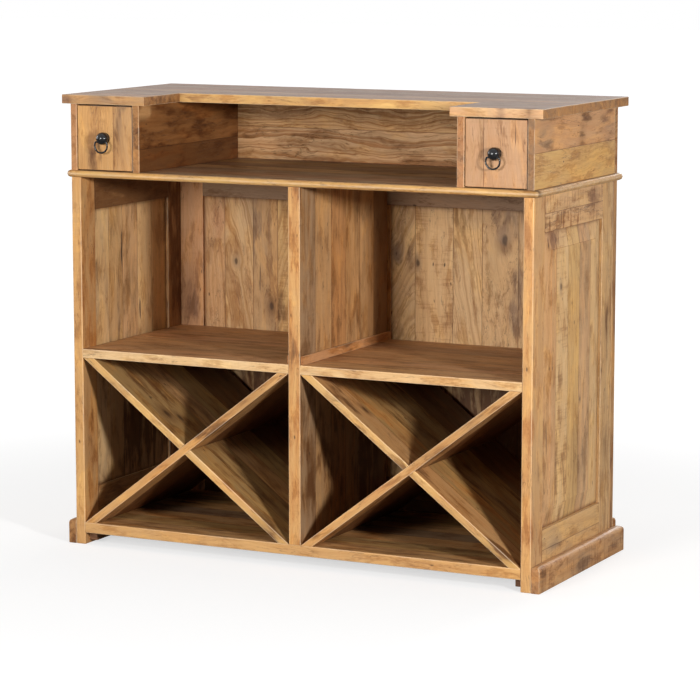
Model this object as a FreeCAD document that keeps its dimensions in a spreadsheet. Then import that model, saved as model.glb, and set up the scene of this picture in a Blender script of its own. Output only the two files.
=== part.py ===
"""Home bar counter: open bays, bottle racks, a gallery with two drawers and a U-shaped top.

Millimetres. +Z is up, X runs along the counter, and the open working side faces -Y.
The origin is on the floor, under the middle of the whole counter.
"""
import FreeCAD, Part
import math
import os
import re
import Sketcher

doc = FreeCAD.newDocument("BarCounter")

# ---------------------------------------------------------------- driving dimensions
SIZES = {
    # case
    "body_width": 1159, "side_depth": 463, "case_height": 865, "floor_gap": 27.5,
    "frame_thick": 25, "stile_width": 62, "top_rail_width": 80, "bottom_rail_width": 102,
    "tenon_length": 35, "tenon_setback": 14,
    # raised panels
    "panel_groove": 9, "panel_play": 1, "panel_edge": 10, "panel_inset": 7,
    "panel_bevel": 42, "panel_shoulder": 1.5,
    # boards inside the case
    "bottom_thick": 25, "shelf_height": 443.5, "shelf_thick": 21,
    "divider_thick": 30, "divider_back_gap": 13,
    "strip_height": 20, "strip_thick": 5, "strip_setback": 4,
    "rack_thick": 18, "bearer_size": 20, "bearer_setback": 20,
    # plinth
    "plinth_thick": 20.5, "plinth_height": 58, "back_plinth_height": 77, "plinth_round": 9,
    # counter board
    "counter_thick": 16, "counter_side_overhang": 12, "counter_front_overhang": 7,
    "counter_back_overhang": 12, "counter_corner": 12, "bullnose_flat": 0.4,
    # gallery and top
    "gallery_height": 153, "outer_panel_thick": 16.5, "inner_panel_thick": 18,
    "drawer_bay_width": 148, "gallery_back_thick": 18,
    "top_thick": 21, "top_side_overhang": 20.5, "top_front_overhang": 4, "top_back_overhang": 12,
    "wing_width": 219, "wing_depth": 164,
    # drawers
    "drawer_side_gap": 1.2, "drawer_bottom_gap": 1.8, "drawer_top_gap": 3, "drawer_inset": 1,
    "drawer_front_thick": 18, "drawer_end_gap": 0.5, "drawer_slide_play": 0.4,
    "drawer_side_thick": 12, "drawer_side_height": 122, "drawer_back_thick": 12,
    "drawer_back_setback": 8, "drawer_back_drop": 6, "drawer_bottom_thick": 5,
    "drawer_bottom_raise": 8, "drawer_groove": 5, "lap_depth": 8,
    # knob and drop ring
    "knob_radius": 14.5, "knob_centre": 10.5, "knob_base_radius": 13, "knob_base_thick": 1.5,
    "ring_plane": 17, "ring_radius": 16.5, "ring_wire": 2.1, "ring_bend": 2.4,
    "ring_pivot_drop": 7.5, "ring_hang": 34.5, "ring_pin_inner": 6.5, "ring_play": 0.08,
    # fixings
    "bolt_radius": 2, "bolt_head_radius": 4, "bolt_head_thick": 3, "bolt_bite": 9,
    "bolt_hole_radius": 2.3, "washer_radius": 6.5, "washer_thick": 1,
    "dowel_radius": 4, "dowel_edge": 15, "dowel_long": 20, "dowel_short": 10,
    "dowel_top": 12, "dowel_stile": 15,
    "screw_radius": 2, "screw_head_radius": 4.2, "screw_head_depth": 3, "screw_length": 46,
    # arrises
    "soft_edge": 3, "board_edge": 1.6, "fine_edge": 0.8,
}

# ---------------------------------------------------------------- places worked out from them
PLACES = {
    "half_body": "body_width / 2",
    "half_inside": "half_body - frame_thick",
    "half_divider": "divider_thick / 2",
    "half_top": "half_body + top_side_overhang",
    "half_notch": "half_top - wing_width",
    "pull_reach": "knob_centre + knob_radius - drawer_inset",
    "front": "(pull_reach - side_depth - frame_thick - plinth_thick) / 2",
    "back_plane": "front + side_depth",
    "case_back": "back_plane + frame_thick",
    "divider_back": "back_plane - divider_back_gap",
    "bottom_top": "floor_gap + bottom_thick",
    "shelf_top": "shelf_height + shelf_thick",
    "low_rail_top": "floor_gap + bottom_rail_width",
    "high_rail_low": "case_height - top_rail_width",
    "counter_top": "case_height + counter_thick",
    "gallery_top": "counter_top + gallery_height",
    "overall_height": "gallery_top + top_thick",
    "niche_back": "case_back - gallery_back_thick",
    "wing_back": "front - top_front_overhang + wing_depth",
    "bay_outer": "half_body - outer_panel_thick",
    "bay_inner": "bay_outer - drawer_bay_width",
    "half_niche": "bay_inner - inner_panel_thick",
    "bay_middle": "(bay_inner + bay_outer) / 2",
    "drawer_near": "bay_inner + drawer_side_gap",
    "drawer_far": "bay_outer - drawer_side_gap",
    "drawer_face": "front + drawer_inset",
    "drawer_inner_face": "drawer_face + drawer_front_thick",
    "drawer_end": "niche_back - drawer_end_gap",
    "drawer_low": "counter_top + drawer_bottom_gap",
    "drawer_high": "gallery_top - drawer_top_gap",
    "drawer_side_low": "counter_top + drawer_slide_play",
    "drawer_side_high": "drawer_side_low + drawer_side_height",
    "drawer_floor_low": "drawer_side_low + drawer_bottom_raise",
    "drawer_floor_top": "drawer_floor_low + drawer_bottom_thick",
    "knob_height": "(drawer_low + drawer_high) / 2",
    "ring_centre_drop": "ring_hang - ring_pivot_drop - ring_radius - ring_wire",
    "frame_middle": "frame_thick / 2",
    "stile_dowel_x": "half_body - frame_middle",
    "outer_panel_x": "half_body - outer_panel_thick / 2",
    "inner_panel_x": "half_niche + inner_panel_thick / 2",
}

sheet = doc.addObject("Spreadsheet::Sheet", "Sizes")
for row, (alias, number) in enumerate(SIZES.items(), start=1):
    sheet.set(f"A{row}", alias)
    sheet.set(f"B{row}", str(number))
    sheet.setAlias(f"B{row}", alias)
doc.recompute()


def formula(text):
    """Give each size and place in a formula its full name in the document."""
    def full_name(match):
        word = match.group(0)
        if word in SIZES:
            return "Sizes." + word
        if word in PLACES:
            return "Places." + word
        return word
    return re.sub(r"[a-z][a-z_]*", full_name, text)


places = doc.addObject("App::VarSet", "Places")
for place in PLACES:
    places.addProperty("App::PropertyFloat", place)
for place, text in PLACES.items():
    places.setExpression(place, formula(text))
doc.recompute()


def size(name):
    """The present number of a size or a place."""
    if name in SIZES:
        return float(sheet.get(name))
    return getattr(places, name)


def bind(thing, prop, text):
    thing.setExpression(prop, formula(text))


# ---------------------------------------------------------------- building blocks
pieces = []

TURN_TO = {
    "x": FreeCAD.Rotation(FreeCAD.Vector(0, 1, 0), 90),
    "y": FreeCAD.Rotation(FreeCAD.Vector(1, 0, 0), -90),
    "z": FreeCAD.Rotation(),
}


def new_piece(label):
    body = doc.addObject("PartDesign::Body", label)
    body.Label = label
    pieces.append(body)
    return body


def put_at(thing, x, y, z, turn=FreeCAD.Rotation()):
    """Place a feature, a solid or a whole body by three formulas and a fixed turn."""
    thing.Placement = FreeCAD.Placement(FreeCAD.Vector(0, 0, 0), turn)
    for axis, text in zip("xyz", (x, y, z)):
        bind(thing, "Placement.Base." + axis, text)


def block(body, x, y, z, cut=False):
    """A box between pairs of formulas, added to the body or cut from it."""
    kind = "PartDesign::SubtractiveBox" if cut else "PartDesign::AdditiveBox"
    box = body.newObject(kind, "Cut" if cut else "Block")
    for prop, (low, high) in zip(("Length", "Width", "Height"), (x, y, z)):
        bind(box, prop, f"({high}) - ({low})")
    put_at(box, x[0], y[0], z[0])
    return box


def mirrored(side, near, far):
    """A span along X on the right (side 1) or its mirror image on the left (side -1)."""
    if side > 0:
        return (near, far)
    return (f"-({far})", f"-({near})")


def on_side(side, text):
    return text if side > 0 else f"-({text})"


def edges_on(shape, *corners):
    """Names of the edges that lie on every plane of a corner, such as ("x-", "y-")."""
    box = shape.BoundBox
    limits = {"x-": box.XMin, "x+": box.XMax, "y-": box.YMin, "y+": box.YMax,
              "z-": box.ZMin, "z+": box.ZMax}
    found = []
    for number, edge in enumerate(shape.Edges, start=1):
        bounds = edge.BoundBox
        ends = {"x": (bounds.XMin, bounds.XMax), "y": (bounds.YMin, bounds.YMax),
                "z": (bounds.ZMin, bounds.ZMax)}
        for corner in corners:
            if all(max(abs(end - limits[plane]) for end in ends[plane[0]]) < 1e-4 for plane in corner):
                found.append(f"Edge{number}")
                break
    return found


def ease(body, radius, *corners):
    """Round the edges that the corners name."""
    doc.recompute()
    tip = body.Tip
    rounding = body.newObject("PartDesign::Fillet", "Eased")
    rounding.Base = (tip, edges_on(tip.Shape, *corners))
    bind(rounding, "Radius", radius)
    doc.recompute()


ALL_ROUND = [(a + i, b + j) for a, b in ("xy", "xz", "yz") for i in "-+" for j in "-+"]


def board(label, x, y, z, radius="fine_edge", corners=ALL_ROUND):
    """A plain board with its arrises eased."""
    body = new_piece(label)
    block(body, x, y, z)
    ease(body, radius, *corners)
    return body


def rod(kind, owner, place, axis, length, radius):
    """A round rod from a point along an axis: a loose solid, or a feature of a body."""
    maker = owner.newObject if kind.startswith("PartDesign") else doc.addObject
    cylinder = maker(kind, "Rod")
    bind(cylinder, "Radius", radius)
    bind(cylinder, "Height", length)
    put_at(cylinder, *place, TURN_TO[axis])
    return cylinder


def bore(body, place, axis, length, radius):
    rod("PartDesign::SubtractiveCylinder", body, place, axis, length, radius)


def group(label, solids):
    """Like pieces that share one name, each a solid of its own."""
    together = doc.addObject("Part::Compound", label)
    together.Label = label
    together.Links = solids
    pieces[:] = [piece for piece in pieces if piece not in solids] + [together]


def dowels(label, places_of, axis, length):
    """A group of dowels, each starting at one of the places."""
    group(label, [rod("Part::Cylinder", None, place, axis, length, "dowel_radius")
                  for place in places_of])


def origin_plane(body, role):
    return next(feature for feature in body.Origin.OriginFeatures if feature.Role == role)


def sketch_on(body, role):
    sketch = body.newObject("Sketcher::SketchObject", "Outline")
    sketch.AttachmentSupport = [(origin_plane(body, role), "")]
    sketch.MapMode = "FlatFace"
    return sketch


def hold(sketch, kind, *what, text=None):
    """Add a constraint; a dimension gets a formula too."""
    number = sketch.addConstraint(Sketcher.Constraint(kind, *what))
    if text:
        bind(sketch, f"Constraints[{number}]", text)


# ---------------------------------------------------------------- framed sides and back
class FramePlace:
    """Turns along, through and up spans of a frame into X, Y and Z spans."""

    def __init__(self, name):
        self.name = name
        self.side = {"left": -1, "right": 1, "back": 0}[name]

    def spans(self, along, through, up):
        if self.side:
            x = mirrored(self.side, *[f"half_inside + {depth}" for depth in through])
            return x, tuple(f"front + {reach}" for reach in along), up
        x = tuple(f"{reach} - half_body" for reach in along)
        return x, tuple(f"back_plane + {depth}" for depth in through), up

    def turn(self):
        """The turn that points local +Y out of the frame."""
        return FreeCAD.Rotation(FreeCAD.Vector(0, 0, 1), -90 * self.side)


WHOLE_THICKNESS = ("0", "frame_thick")
TONGUE_THICKNESS = ("panel_inset", "panel_inset + panel_edge")


def frame_stile(frame, label, along, open_edge, corners):
    """An upright with mortises for both rails and a groove for the panel in its open edge."""
    body = new_piece(label)
    block(body, *frame.spans(along, WHOLE_THICKNESS, ("0", "case_height")))
    ease(body, "soft_edge", *corners)
    low, high = along
    if open_edge == "high":
        mortise = (f"{high} - tenon_length", high)
        groove = (f"{high} - panel_groove", high)
    else:
        mortise = (low, f"{low} + tenon_length")
        groove = (low, f"{low} + panel_groove")
    for rail_low, rail_high in (("floor_gap", "low_rail_top"), ("high_rail_low", "case_height")):
        tall = (f"{rail_low} + tenon_setback", f"{rail_high} - tenon_setback")
        block(body, *frame.spans(mortise, TONGUE_THICKNESS, tall), cut=True)
    tall = ("low_rail_top - panel_groove", "high_rail_low + panel_groove")
    block(body, *frame.spans(groove, TONGUE_THICKNESS, tall), cut=True)
    return body


def frame_rail(frame, label, along, up, groove_up):
    """A rail between the stiles, with a tenon at each end and a groove for the panel."""
    body = new_piece(label)
    block(body, *frame.spans(along, WHOLE_THICKNESS, up))
    low, high = along
    tenons = (f"{low} - tenon_length", f"{high} + tenon_length")
    tall = (f"{up[0]} + tenon_setback", f"{up[1]} - tenon_setback")
    block(body, *frame.spans(tenons, TONGUE_THICKNESS, tall))
    block(body, *frame.spans(along, TONGUE_THICKNESS, groove_up), cut=True)
    return body


def frame_panel(frame, label, along):
    """A board flush with the frame outside, bevelled down all round to a tongue in the grooves."""
    body = new_piece(label)
    low, high = along
    bite = "panel_groove - panel_play"
    tongue = (f"{low} - ({bite})", f"{high} + {bite}")
    tall = (f"low_rail_top - ({bite})", f"high_rail_low + {bite}")
    block(body, *frame.spans(tongue, TONGUE_THICKNESS, tall))
    field = (f"{low} + panel_bevel", f"{high} - panel_bevel")
    field_up = ("low_rail_top + panel_bevel", "high_rail_low - panel_bevel")
    block(body, *frame.spans(field, ("panel_inset", "frame_thick"), field_up))
    bevel = body.newObject("PartDesign::AdditiveWedge", "Bevel")
    wide = f"({high}) - ({low})"
    high_up = "high_rail_low - low_rail_top"
    rise = "frame_thick - panel_inset - panel_edge - panel_shoulder"
    for prop, text in {"Xmin": "0", "Xmax": wide, "X2min": "panel_bevel",
                       "X2max": f"{wide} - panel_bevel", "Ymin": "0", "Ymax": rise,
                       "Zmin": "0", "Zmax": high_up, "Z2min": "panel_bevel",
                       "Z2max": f"{high_up} - panel_bevel"}.items():
        bind(bevel, prop, text)
    x, y, z = frame.spans(along, ("panel_inset + panel_edge", "frame_thick"),
                          ("low_rail_top", "high_rail_low"))
    starts = {"left": (x[1], y[0]), "right": (x[0], y[1]), "back": (x[0], y[0])}
    put_at(bevel, *starts[frame.name], z[0], frame.turn())
    return body


def dowel_rows_in_stiles(side):
    """Front and back places of the level dowels that hold a board's end to a side frame."""
    start = "half_inside - dowel_long" if side > 0 else "-half_inside - dowel_stile"
    for along in ("front + dowel_edge", "back_plane - dowel_edge"):
        for height in ("floor_gap + bottom_thick / 2", "shelf_height + shelf_thick / 2"):
            yield (start, along, height)


BACK_DOWEL_HEIGHTS = ["low_rail_top + stile_width", "shelf_height - 2 * stile_width",
                      "shelf_top + 2 * stile_width", "high_rail_low - stile_width"]


def back_dowel_places(side):
    for height in BACK_DOWEL_HEIGHTS:
        yield (on_side(side, "stile_dowel_x"), "back_plane - dowel_long", height)


def counter_dowel_places():
    """Upright dowels from the stiles, the back rail and the divider up into the counter board."""
    start = "case_height - dowel_long"
    for side in (-1, 1):
        for along in ("front + dowel_edge", "back_plane - dowel_edge"):
            yield (on_side(side, "stile_dowel_x"), along, start)
        yield (on_side(side, "half_body / 2"), "back_plane + frame_middle", start)
    for along in ("front + 2 * dowel_edge", "divider_back - 2 * dowel_edge"):
        yield ("0", along, start)


def build_side_frame(name):
    frame = FramePlace(name)
    out = "x-" if frame.side < 0 else "x+"
    inside = "x+" if frame.side < 0 else "x-"
    rails = ("stile_width", "side_depth - stile_width")
    front_stile = frame_stile(frame, f"{name}_front_stile", ("0", "stile_width"), "high",
                              [(out, "y-"), (inside, "y-")])
    back_stile = frame_stile(frame, f"{name}_back_stile", ("side_depth - stile_width", "side_depth"),
                             "low", [(out, "y+")])
    frame_rail(frame, f"{name}_top_rail", rails, ("high_rail_low", "case_height"),
               ("high_rail_low", "high_rail_low + panel_groove"))
    frame_rail(frame, f"{name}_bottom_rail", rails, ("floor_gap", "low_rail_top"),
               ("low_rail_top - panel_groove", "low_rail_top"))
    frame_panel(frame, f"{name}_side_panel", rails)
    for place in dowel_rows_in_stiles(frame.side):
        stile = front_stile if place[1].startswith("front") else back_stile
        bore(stile, place, "x", "dowel_long + dowel_stile", "dowel_radius")
    for place in back_dowel_places(frame.side):
        bore(back_stile, place, "y", "dowel_long + dowel_stile", "dowel_radius")
    for place in counter_dowel_places():
        if place[0] == on_side(frame.side, "stile_dowel_x"):
            stile = front_stile if place[1].startswith("front") else back_stile
            bore(stile, place, "z", "dowel_long + dowel_short", "dowel_radius")


def build_back_frame():
    frame = FramePlace("back")
    outer = "stile_width + frame_thick"
    left_open = (outer, "half_body - half_divider")
    right_open = ("half_body + half_divider", f"body_width - ({outer})")
    rails = (outer, f"body_width - ({outer})")
    left_stile = frame_stile(frame, "back_left_stile", ("0", outer), "high", [("x-", "y+")])
    right_stile = frame_stile(frame, "back_right_stile", (f"body_width - ({outer})", "body_width"),
                              "low", [("x+", "y+")])
    top_rail = frame_rail(frame, "back_top_rail", rails, ("high_rail_low", "case_height"),
                          ("high_rail_low", "high_rail_low + panel_groove"))
    low_rail = frame_rail(frame, "back_bottom_rail", rails, ("floor_gap", "low_rail_top"),
                          ("low_rail_top - panel_groove", "low_rail_top"))
    frame_panel(frame, "back_left_panel", left_open)
    frame_panel(frame, "back_right_panel", right_open)

    centre = new_piece("back_centre_stile")
    middle = (left_open[1], right_open[0])
    between = ("low_rail_top", "high_rail_low")
    block(centre, *frame.spans(middle, WHOLE_THICKNESS, between))
    core = (f"{middle[0]} + panel_groove", f"{middle[1]} - panel_groove")
    tenons = ("low_rail_top - tenon_length", "high_rail_low + tenon_length")
    block(centre, *frame.spans(core, TONGUE_THICKNESS, tenons))
    for groove in ((middle[0], core[0]), (core[1], middle[1])):
        block(centre, *frame.spans(groove, TONGUE_THICKNESS, between), cut=True)
    for rail in (top_rail, low_rail):
        block(rail, *frame.spans(core, TONGUE_THICKNESS, tenons), cut=True)

    for side, stile in ((-1, left_stile), (1, right_stile)):
        for place in back_dowel_places(side):
            bore(stile, place, "y", "dowel_long + dowel_stile", "dowel_radius")
    for place in counter_dowel_places():
        if place[1].startswith("back_plane + frame"):
            bore(top_rail, place, "z", "dowel_long + dowel_short", "dowel_radius")


# ---------------------------------------------------------------- boards inside the case
def divider_dowel_places():
    for along in ("front + 2 * dowel_edge", "divider_back - 2 * dowel_edge"):
        yield ("-half_divider - dowel_long", along, "shelf_height + shelf_thick / 2")


def foot_dowel_places():
    for along in ("front + 2 * dowel_edge", "divider_back - 2 * dowel_edge"):
        yield ("0", along, "bottom_top - dowel_stile")


def build_case_boards():
    inside_depth = ("front", "back_plane")
    front_arrises = [("y-", "z-"), ("y-", "z+")]
    bottom = board("bottom_board", ("-half_inside", "half_inside"), inside_depth,
                   ("floor_gap", "bottom_top"), "board_edge", front_arrises)
    for place in foot_dowel_places():
        bore(bottom, place, "z", "dowel_stile + dowel_long", "dowel_radius")
    divider = board("centre_divider", ("-half_divider", "half_divider"), ("front", "divider_back"),
                    ("bottom_top", "case_height"), "soft_edge", [("x-", "y-"), ("x+", "y-")])
    for place in foot_dowel_places():
        bore(divider, place, "z", "dowel_stile + dowel_long", "dowel_radius")
    for place in divider_dowel_places():
        bore(divider, place, "x", "divider_thick + 2 * dowel_long", "dowel_radius")
    for place in counter_dowel_places():
        if place[0] == "0":
            bore(divider, place, "z", "dowel_long + dowel_short", "dowel_radius")
    strips = []
    bearers = []
    for side, name in ((-1, "left"), (1, "right")):
        shelf = board(f"{name}_shelf", mirrored(side, "half_divider", "half_inside"), inside_depth,
                      ("shelf_height", "shelf_top"), "board_edge", front_arrises)
        for place in divider_dowel_places():
            bore(shelf, place, "x", "divider_thick + 2 * dowel_long", "dowel_radius")
        for place in dowel_rows_in_stiles(side):
            target = shelf if place[2].startswith("shelf") else bottom
            bore(target, place, "x", "dowel_long + dowel_stile", "dowel_radius")
        bay_side = "x+" if side > 0 else "x-"
        strips.append(board(
            f"{name}_strip", mirrored(side, "half_divider", "half_divider + strip_thick"),
            ("front + strip_setback", "back_plane"), ("shelf_top", "shelf_top + strip_height"),
            "fine_edge", [(bay_side, "z+"), (bay_side, "y-")]))
        bearers.append(board(
            f"{name}_bearer", mirrored(side, "half_inside - bearer_size", "half_inside"),
            ("front + bearer_setback", "back_plane - bearer_setback"),
            ("floor_gap - bearer_size", "floor_gap")))
    group("divider_strips", strips)
    group("bottom_bearers", bearers)


def rack_end_width():
    """Length of the level end of a rack board that fits its bay from corner to corner."""
    thick = size("rack_thick")
    wide = size("half_inside") - size("half_divider")
    tall = size("shelf_height") - size("bottom_top")
    slack = tall ** 2 - thick ** 2
    root = math.sqrt((thick * wide) ** 2 + slack * (tall ** 2 + wide ** 2))
    return thick * (root - thick * wide) / slack


def rack_outline(body, side, rising):
    """A slanting strip from corner to corner of a lower bay, with level ends.

    The sketch lies in the XZ plane. Its first line is the lower end, its third the upper end.
    """
    foot_text, head_text = mirrored(side, "half_divider", "half_inside")
    foot, head = sorted((side * size("half_divider"), side * size("half_inside")))
    step = rack_end_width()
    if not rising:
        foot_text, head_text = head_text, foot_text
        foot, head = head, foot
        step = -step
    low, high = size("bottom_top"), size("shelf_height")
    corners = [(foot, low), (foot + step, low), (head, high), (head - step, high)]
    sketch = sketch_on(body, "XZ_Plane")
    for number in range(4):
        start, end_point = corners[number], corners[(number + 1) % 4]
        sketch.addGeometry(Part.LineSegment(FreeCAD.Vector(*start, 0), FreeCAD.Vector(*end_point, 0)))
    for number in range(4):
        hold(sketch, "Coincident", number, 2, (number + 1) % 4, 1)
    hold(sketch, "Horizontal", 0)
    hold(sketch, "Horizontal", 2)
    hold(sketch, "Parallel", 1, 3)
    hold(sketch, "DistanceX", -1, 1, 0, 1, foot, text=foot_text)
    hold(sketch, "DistanceY", -1, 1, 0, 1, low, text="bottom_top")
    hold(sketch, "DistanceX", -1, 1, 2, 1, head, text=head_text)
    hold(sketch, "DistanceY", -1, 1, 2, 1, high, text="shelf_height")
    hold(sketch, "Distance", 0, 1, 1, size("rack_thick"), text="rack_thick")
    return sketch


def build_rack(side, name):
    """Two crossed boards, each slotted over half its depth to pass the other."""
    for rising in (True, False):
        body = new_piece(f"{name}_rack_{'rising' if rising else 'falling'}_board")
        outline = rack_outline(body, side, rising)
        doc.recompute()
        pad = body.newObject("PartDesign::Pad", "Plank")
        pad.Profile = outline
        bind(pad, "Length", "divider_back - front")
        bind(outline, "AttachmentOffset.Base.z", "-divider_back")
        doc.recompute()
        before = body.Shape.Volume
        slot_outline = rack_outline(body, side, not rising)
        slot_start = "-divider_back" if rising else "-(front + divider_back) / 2"
        bind(slot_outline, "AttachmentOffset.Base.z", slot_start)
        doc.recompute()
        slot = body.newObject("PartDesign::Pocket", "Slot")
        slot.Profile = slot_outline
        slot.Reversed = True
        bind(slot, "Length", "(divider_back - front) / 2")
        doc.recompute()
        if not body.Shape.Volume < before:
            raise RuntimeError(f"{body.Label}: the slot cuts nothing")


def build_plinths():
    back = ("case_back", "case_back + plinth_thick")
    board("back_plinth", ("-half_body", "half_body"), back, ("0", "back_plinth_height"),
          "plinth_round", [("y+", "z+")])
    for side, name in ((-1, "left"), (1, "right")):
        out = "x+" if side > 0 else "x-"
        board(f"{name}_plinth", mirrored(side, "half_body", "half_body + plinth_thick"),
              ("front", back[1]), ("0", "plinth_height"), "plinth_round",
              [(out, "z+"), (out, "y+")])


# ---------------------------------------------------------------- counter board and gallery
def gallery_screw_places():
    """Screws driven up through the counter board into the foot of each gallery board."""
    for side in (-1, 1):
        for panel in ("outer_panel_x", "inner_panel_x"):
            for along in ("front + 6 * dowel_edge", "(front + niche_back) / 2",
                          "niche_back - 6 * dowel_edge"):
                yield (on_side(side, panel), along, "case_height")
        yield (on_side(side, "half_niche / 2"), "niche_back + gallery_back_thick / 2", "case_height")


def top_dowel_places():
    """Upright dowels from the gallery boards into the boards of the top."""
    start = "gallery_top - dowel_long"
    for side in (-1, 1):
        for panel in ("outer_panel_x", "inner_panel_x"):
            for along in ("front + 3 * dowel_edge", "wing_back - 3 * dowel_edge",
                          "wing_back + 5 * dowel_edge", "niche_back - 5 * dowel_edge"):
                yield (on_side(side, panel), along, start)
        yield (on_side(side, "half_niche / 2"), "niche_back + gallery_back_thick / 2", start)


def countersink(body, place):
    bore(body, place, "z", "screw_length", "screw_radius")
    cone = body.newObject("PartDesign::SubtractiveCone", "Countersink")
    shape_cone(cone, place)


def shape_cone(cone, place):
    bind(cone, "Radius1", "screw_head_radius")
    bind(cone, "Radius2", "screw_radius")
    bind(cone, "Height", "screw_head_depth")
    put_at(cone, *place)


def build_counter_board():
    counter = new_piece("counter_board")
    block(counter, ("-half_body - counter_side_overhang", "half_body + counter_side_overhang"),
          ("front - counter_front_overhang", "case_back + counter_back_overhang"),
          ("case_height", "counter_top"))
    ease(counter, "counter_corner", ("x-", "y-"), ("x+", "y-"), ("x-", "y+"), ("x+", "y+"))
    ease(counter, "(counter_thick - bullnose_flat) / 2", ("z-",), ("z+",))
    for place in counter_dowel_places():
        bore(counter, place, "z", "dowel_long + dowel_short", "dowel_radius")
    for place in gallery_screw_places():
        countersink(counter, place)


def build_gallery():
    up = ("counter_top", "gallery_top")
    deep = ("front", "niche_back")
    back = board("gallery_back", ("-half_body", "half_body"), ("niche_back", "case_back"), up,
                 "board_edge", [("x-", "y+"), ("x+", "y+")])
    panels = []
    for side, name in ((-1, "left"), (1, "right")):
        out = "x+" if side > 0 else "x-"
        outer = board(f"{name}_outer_gallery_panel", mirrored(side, "bay_outer", "half_body"), deep,
                      up, "board_edge", [(out, "y-")])
        inner = board(f"{name}_inner_gallery_panel", mirrored(side, "half_niche", "bay_inner"), deep,
                      up, "board_edge", [("x-", "y-"), ("x+", "y-")])
        panels += [(side, "outer_panel_x", outer), (side, "inner_panel_x", inner)]

    top_up = ("gallery_top", "overall_height")
    main = board("top_main_board", ("-half_top", "half_top"),
                 ("wing_back", "case_back + top_back_overhang"), top_up, "board_edge",
                 [("y+", "z+"), ("y+", "z-"), ("x-", "z+"), ("x+", "z+"), ("x-", "y+"), ("x+", "y+")])
    ease(main, "fine_edge", ("y-", "z+"), ("y-", "z-"))
    wings = {}
    for side, name in ((-1, "left"), (1, "right")):
        wings[side] = board(f"{name}_top_wing", mirrored(side, "half_notch", "half_top"),
                            ("front - top_front_overhang", "wing_back"), top_up, "board_edge",
                            [("y-", "z+"), ("y-", "z-"), ("x-", "z+"), ("x+", "z+"),
                             ("x-", "y-"), ("x+", "y-")])

    length = "dowel_long + dowel_top"
    for place in top_dowel_places():
        side = -1 if place[0].startswith("-") else 1
        in_wing = place[1] in ("front + 3 * dowel_edge", "wing_back - 3 * dowel_edge")
        bore(wings[side] if in_wing else main, place, "z", length, "dowel_radius")
        for panel_side, middle, panel in panels:
            if place[0] == on_side(panel_side, middle):
                bore(panel, place, "z", length, "dowel_radius")
        if place[1].startswith("niche_back +"):
            bore(back, place, "z", length, "dowel_radius")
    for place in gallery_screw_places():
        for panel_side, middle, panel in panels:
            if place[0] == on_side(panel_side, middle):
                bore(panel, place, "z", "screw_length", "screw_radius")
        if place[1].startswith("niche_back +"):
            bore(back, place, "z", "screw_length", "screw_radius")


def build_fixings():
    dowels("counter_dowels", counter_dowel_places(), "z", "dowel_long + dowel_short")
    dowels("top_dowels", top_dowel_places(), "z", "dowel_long + dowel_top")
    dowels("back_frame_dowels", [place for side in (-1, 1) for place in back_dowel_places(side)],
           "y", "dowel_long + dowel_stile")
    length = "dowel_long + dowel_stile"
    ends = [rod("Part::Cylinder", None, place, "x", length, "dowel_radius")
            for side in (-1, 1) for place in dowel_rows_in_stiles(side)]
    middle = [rod("Part::Cylinder", None, place, "x", "divider_thick + 2 * dowel_long", "dowel_radius")
              for place in divider_dowel_places()]
    feet = [rod("Part::Cylinder", None, place, "z", length, "dowel_radius")
            for place in foot_dowel_places()]
    group("board_dowels", ends + middle + feet)

    screws = []
    for place in gallery_screw_places():
        head = doc.addObject("Part::Cone", "ScrewHead")
        shape_cone(head, place)
        shank = rod("Part::Cylinder", None, place, "z", "screw_length", "screw_radius")
        screw = doc.addObject("Part::Fuse", "Screw")
        screw.Base = head
        screw.Tool = shank
        screws.append(screw)
    group("gallery_screws", screws)


# ---------------------------------------------------------------- drawers
def build_drawer(side, name):
    wide = mirrored(side, "drawer_near", "drawer_far")
    groove_up = ("drawer_floor_low", "drawer_floor_top")
    floor_deep = ("drawer_inner_face - drawer_groove", "drawer_end")
    side_up = ("drawer_side_low", "drawer_side_high")
    side_deep = ("drawer_inner_face - lap_depth", "drawer_end")
    floor = mirrored(side, "drawer_near + drawer_side_thick - drawer_groove",
                     "drawer_far - drawer_side_thick + drawer_groove")

    front = board(f"{name}_drawer_front", wide, ("drawer_face", "drawer_inner_face"),
                  ("drawer_low", "drawer_high"), "fine_edge",
                  [("x-", "y-"), ("x+", "y-"), ("y-", "z-"), ("y-", "z+")])
    sides = {"inner": mirrored(side, "drawer_near", "drawer_near + drawer_side_thick"),
             "outer": mirrored(side, "drawer_far - drawer_side_thick", "drawer_far")}
    for place, span in sides.items():
        block(front, span, (side_deep[0], "drawer_inner_face"), side_up, cut=True)
        cheek = new_piece(f"{name}_drawer_{place}_side")
        block(cheek, span, side_deep, side_up)
        block(cheek, floor, floor_deep, groove_up, cut=True)
    block(front, floor, (floor_deep[0], "drawer_inner_face"), groove_up, cut=True)
    block(new_piece(f"{name}_drawer_bottom"), floor, floor_deep, groove_up)
    tail = "drawer_end - drawer_back_setback"
    board(f"{name}_drawer_back",
          mirrored(side, "drawer_near + drawer_side_thick", "drawer_far - drawer_side_thick"),
          (f"{tail} - drawer_back_thick", tail),
          ("drawer_floor_top", "drawer_side_high - drawer_back_drop"), "fine_edge",
          [("y-", "z+"), ("y+", "z+")])

    middle = on_side(side, "bay_middle")
    bore(front, (middle, "drawer_face", "knob_height"), "y", "drawer_front_thick", "bolt_hole_radius")
    build_knob(f"{name}_knob", middle)
    build_ring(f"{name}_drop_ring", middle)
    bolt = new_piece(f"{name}_knob_bolt")
    for reach, length, radius in (
            ("drawer_inner_face + washer_thick", "bolt_head_thick", "bolt_head_radius"),
            ("drawer_inner_face", "washer_thick", "washer_radius"),
            ("drawer_face - bolt_bite", "bolt_bite + drawer_front_thick", "bolt_radius")):
        rod("PartDesign::AdditiveCylinder", bolt, (middle, reach, "knob_height"), "y", length, radius)


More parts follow.
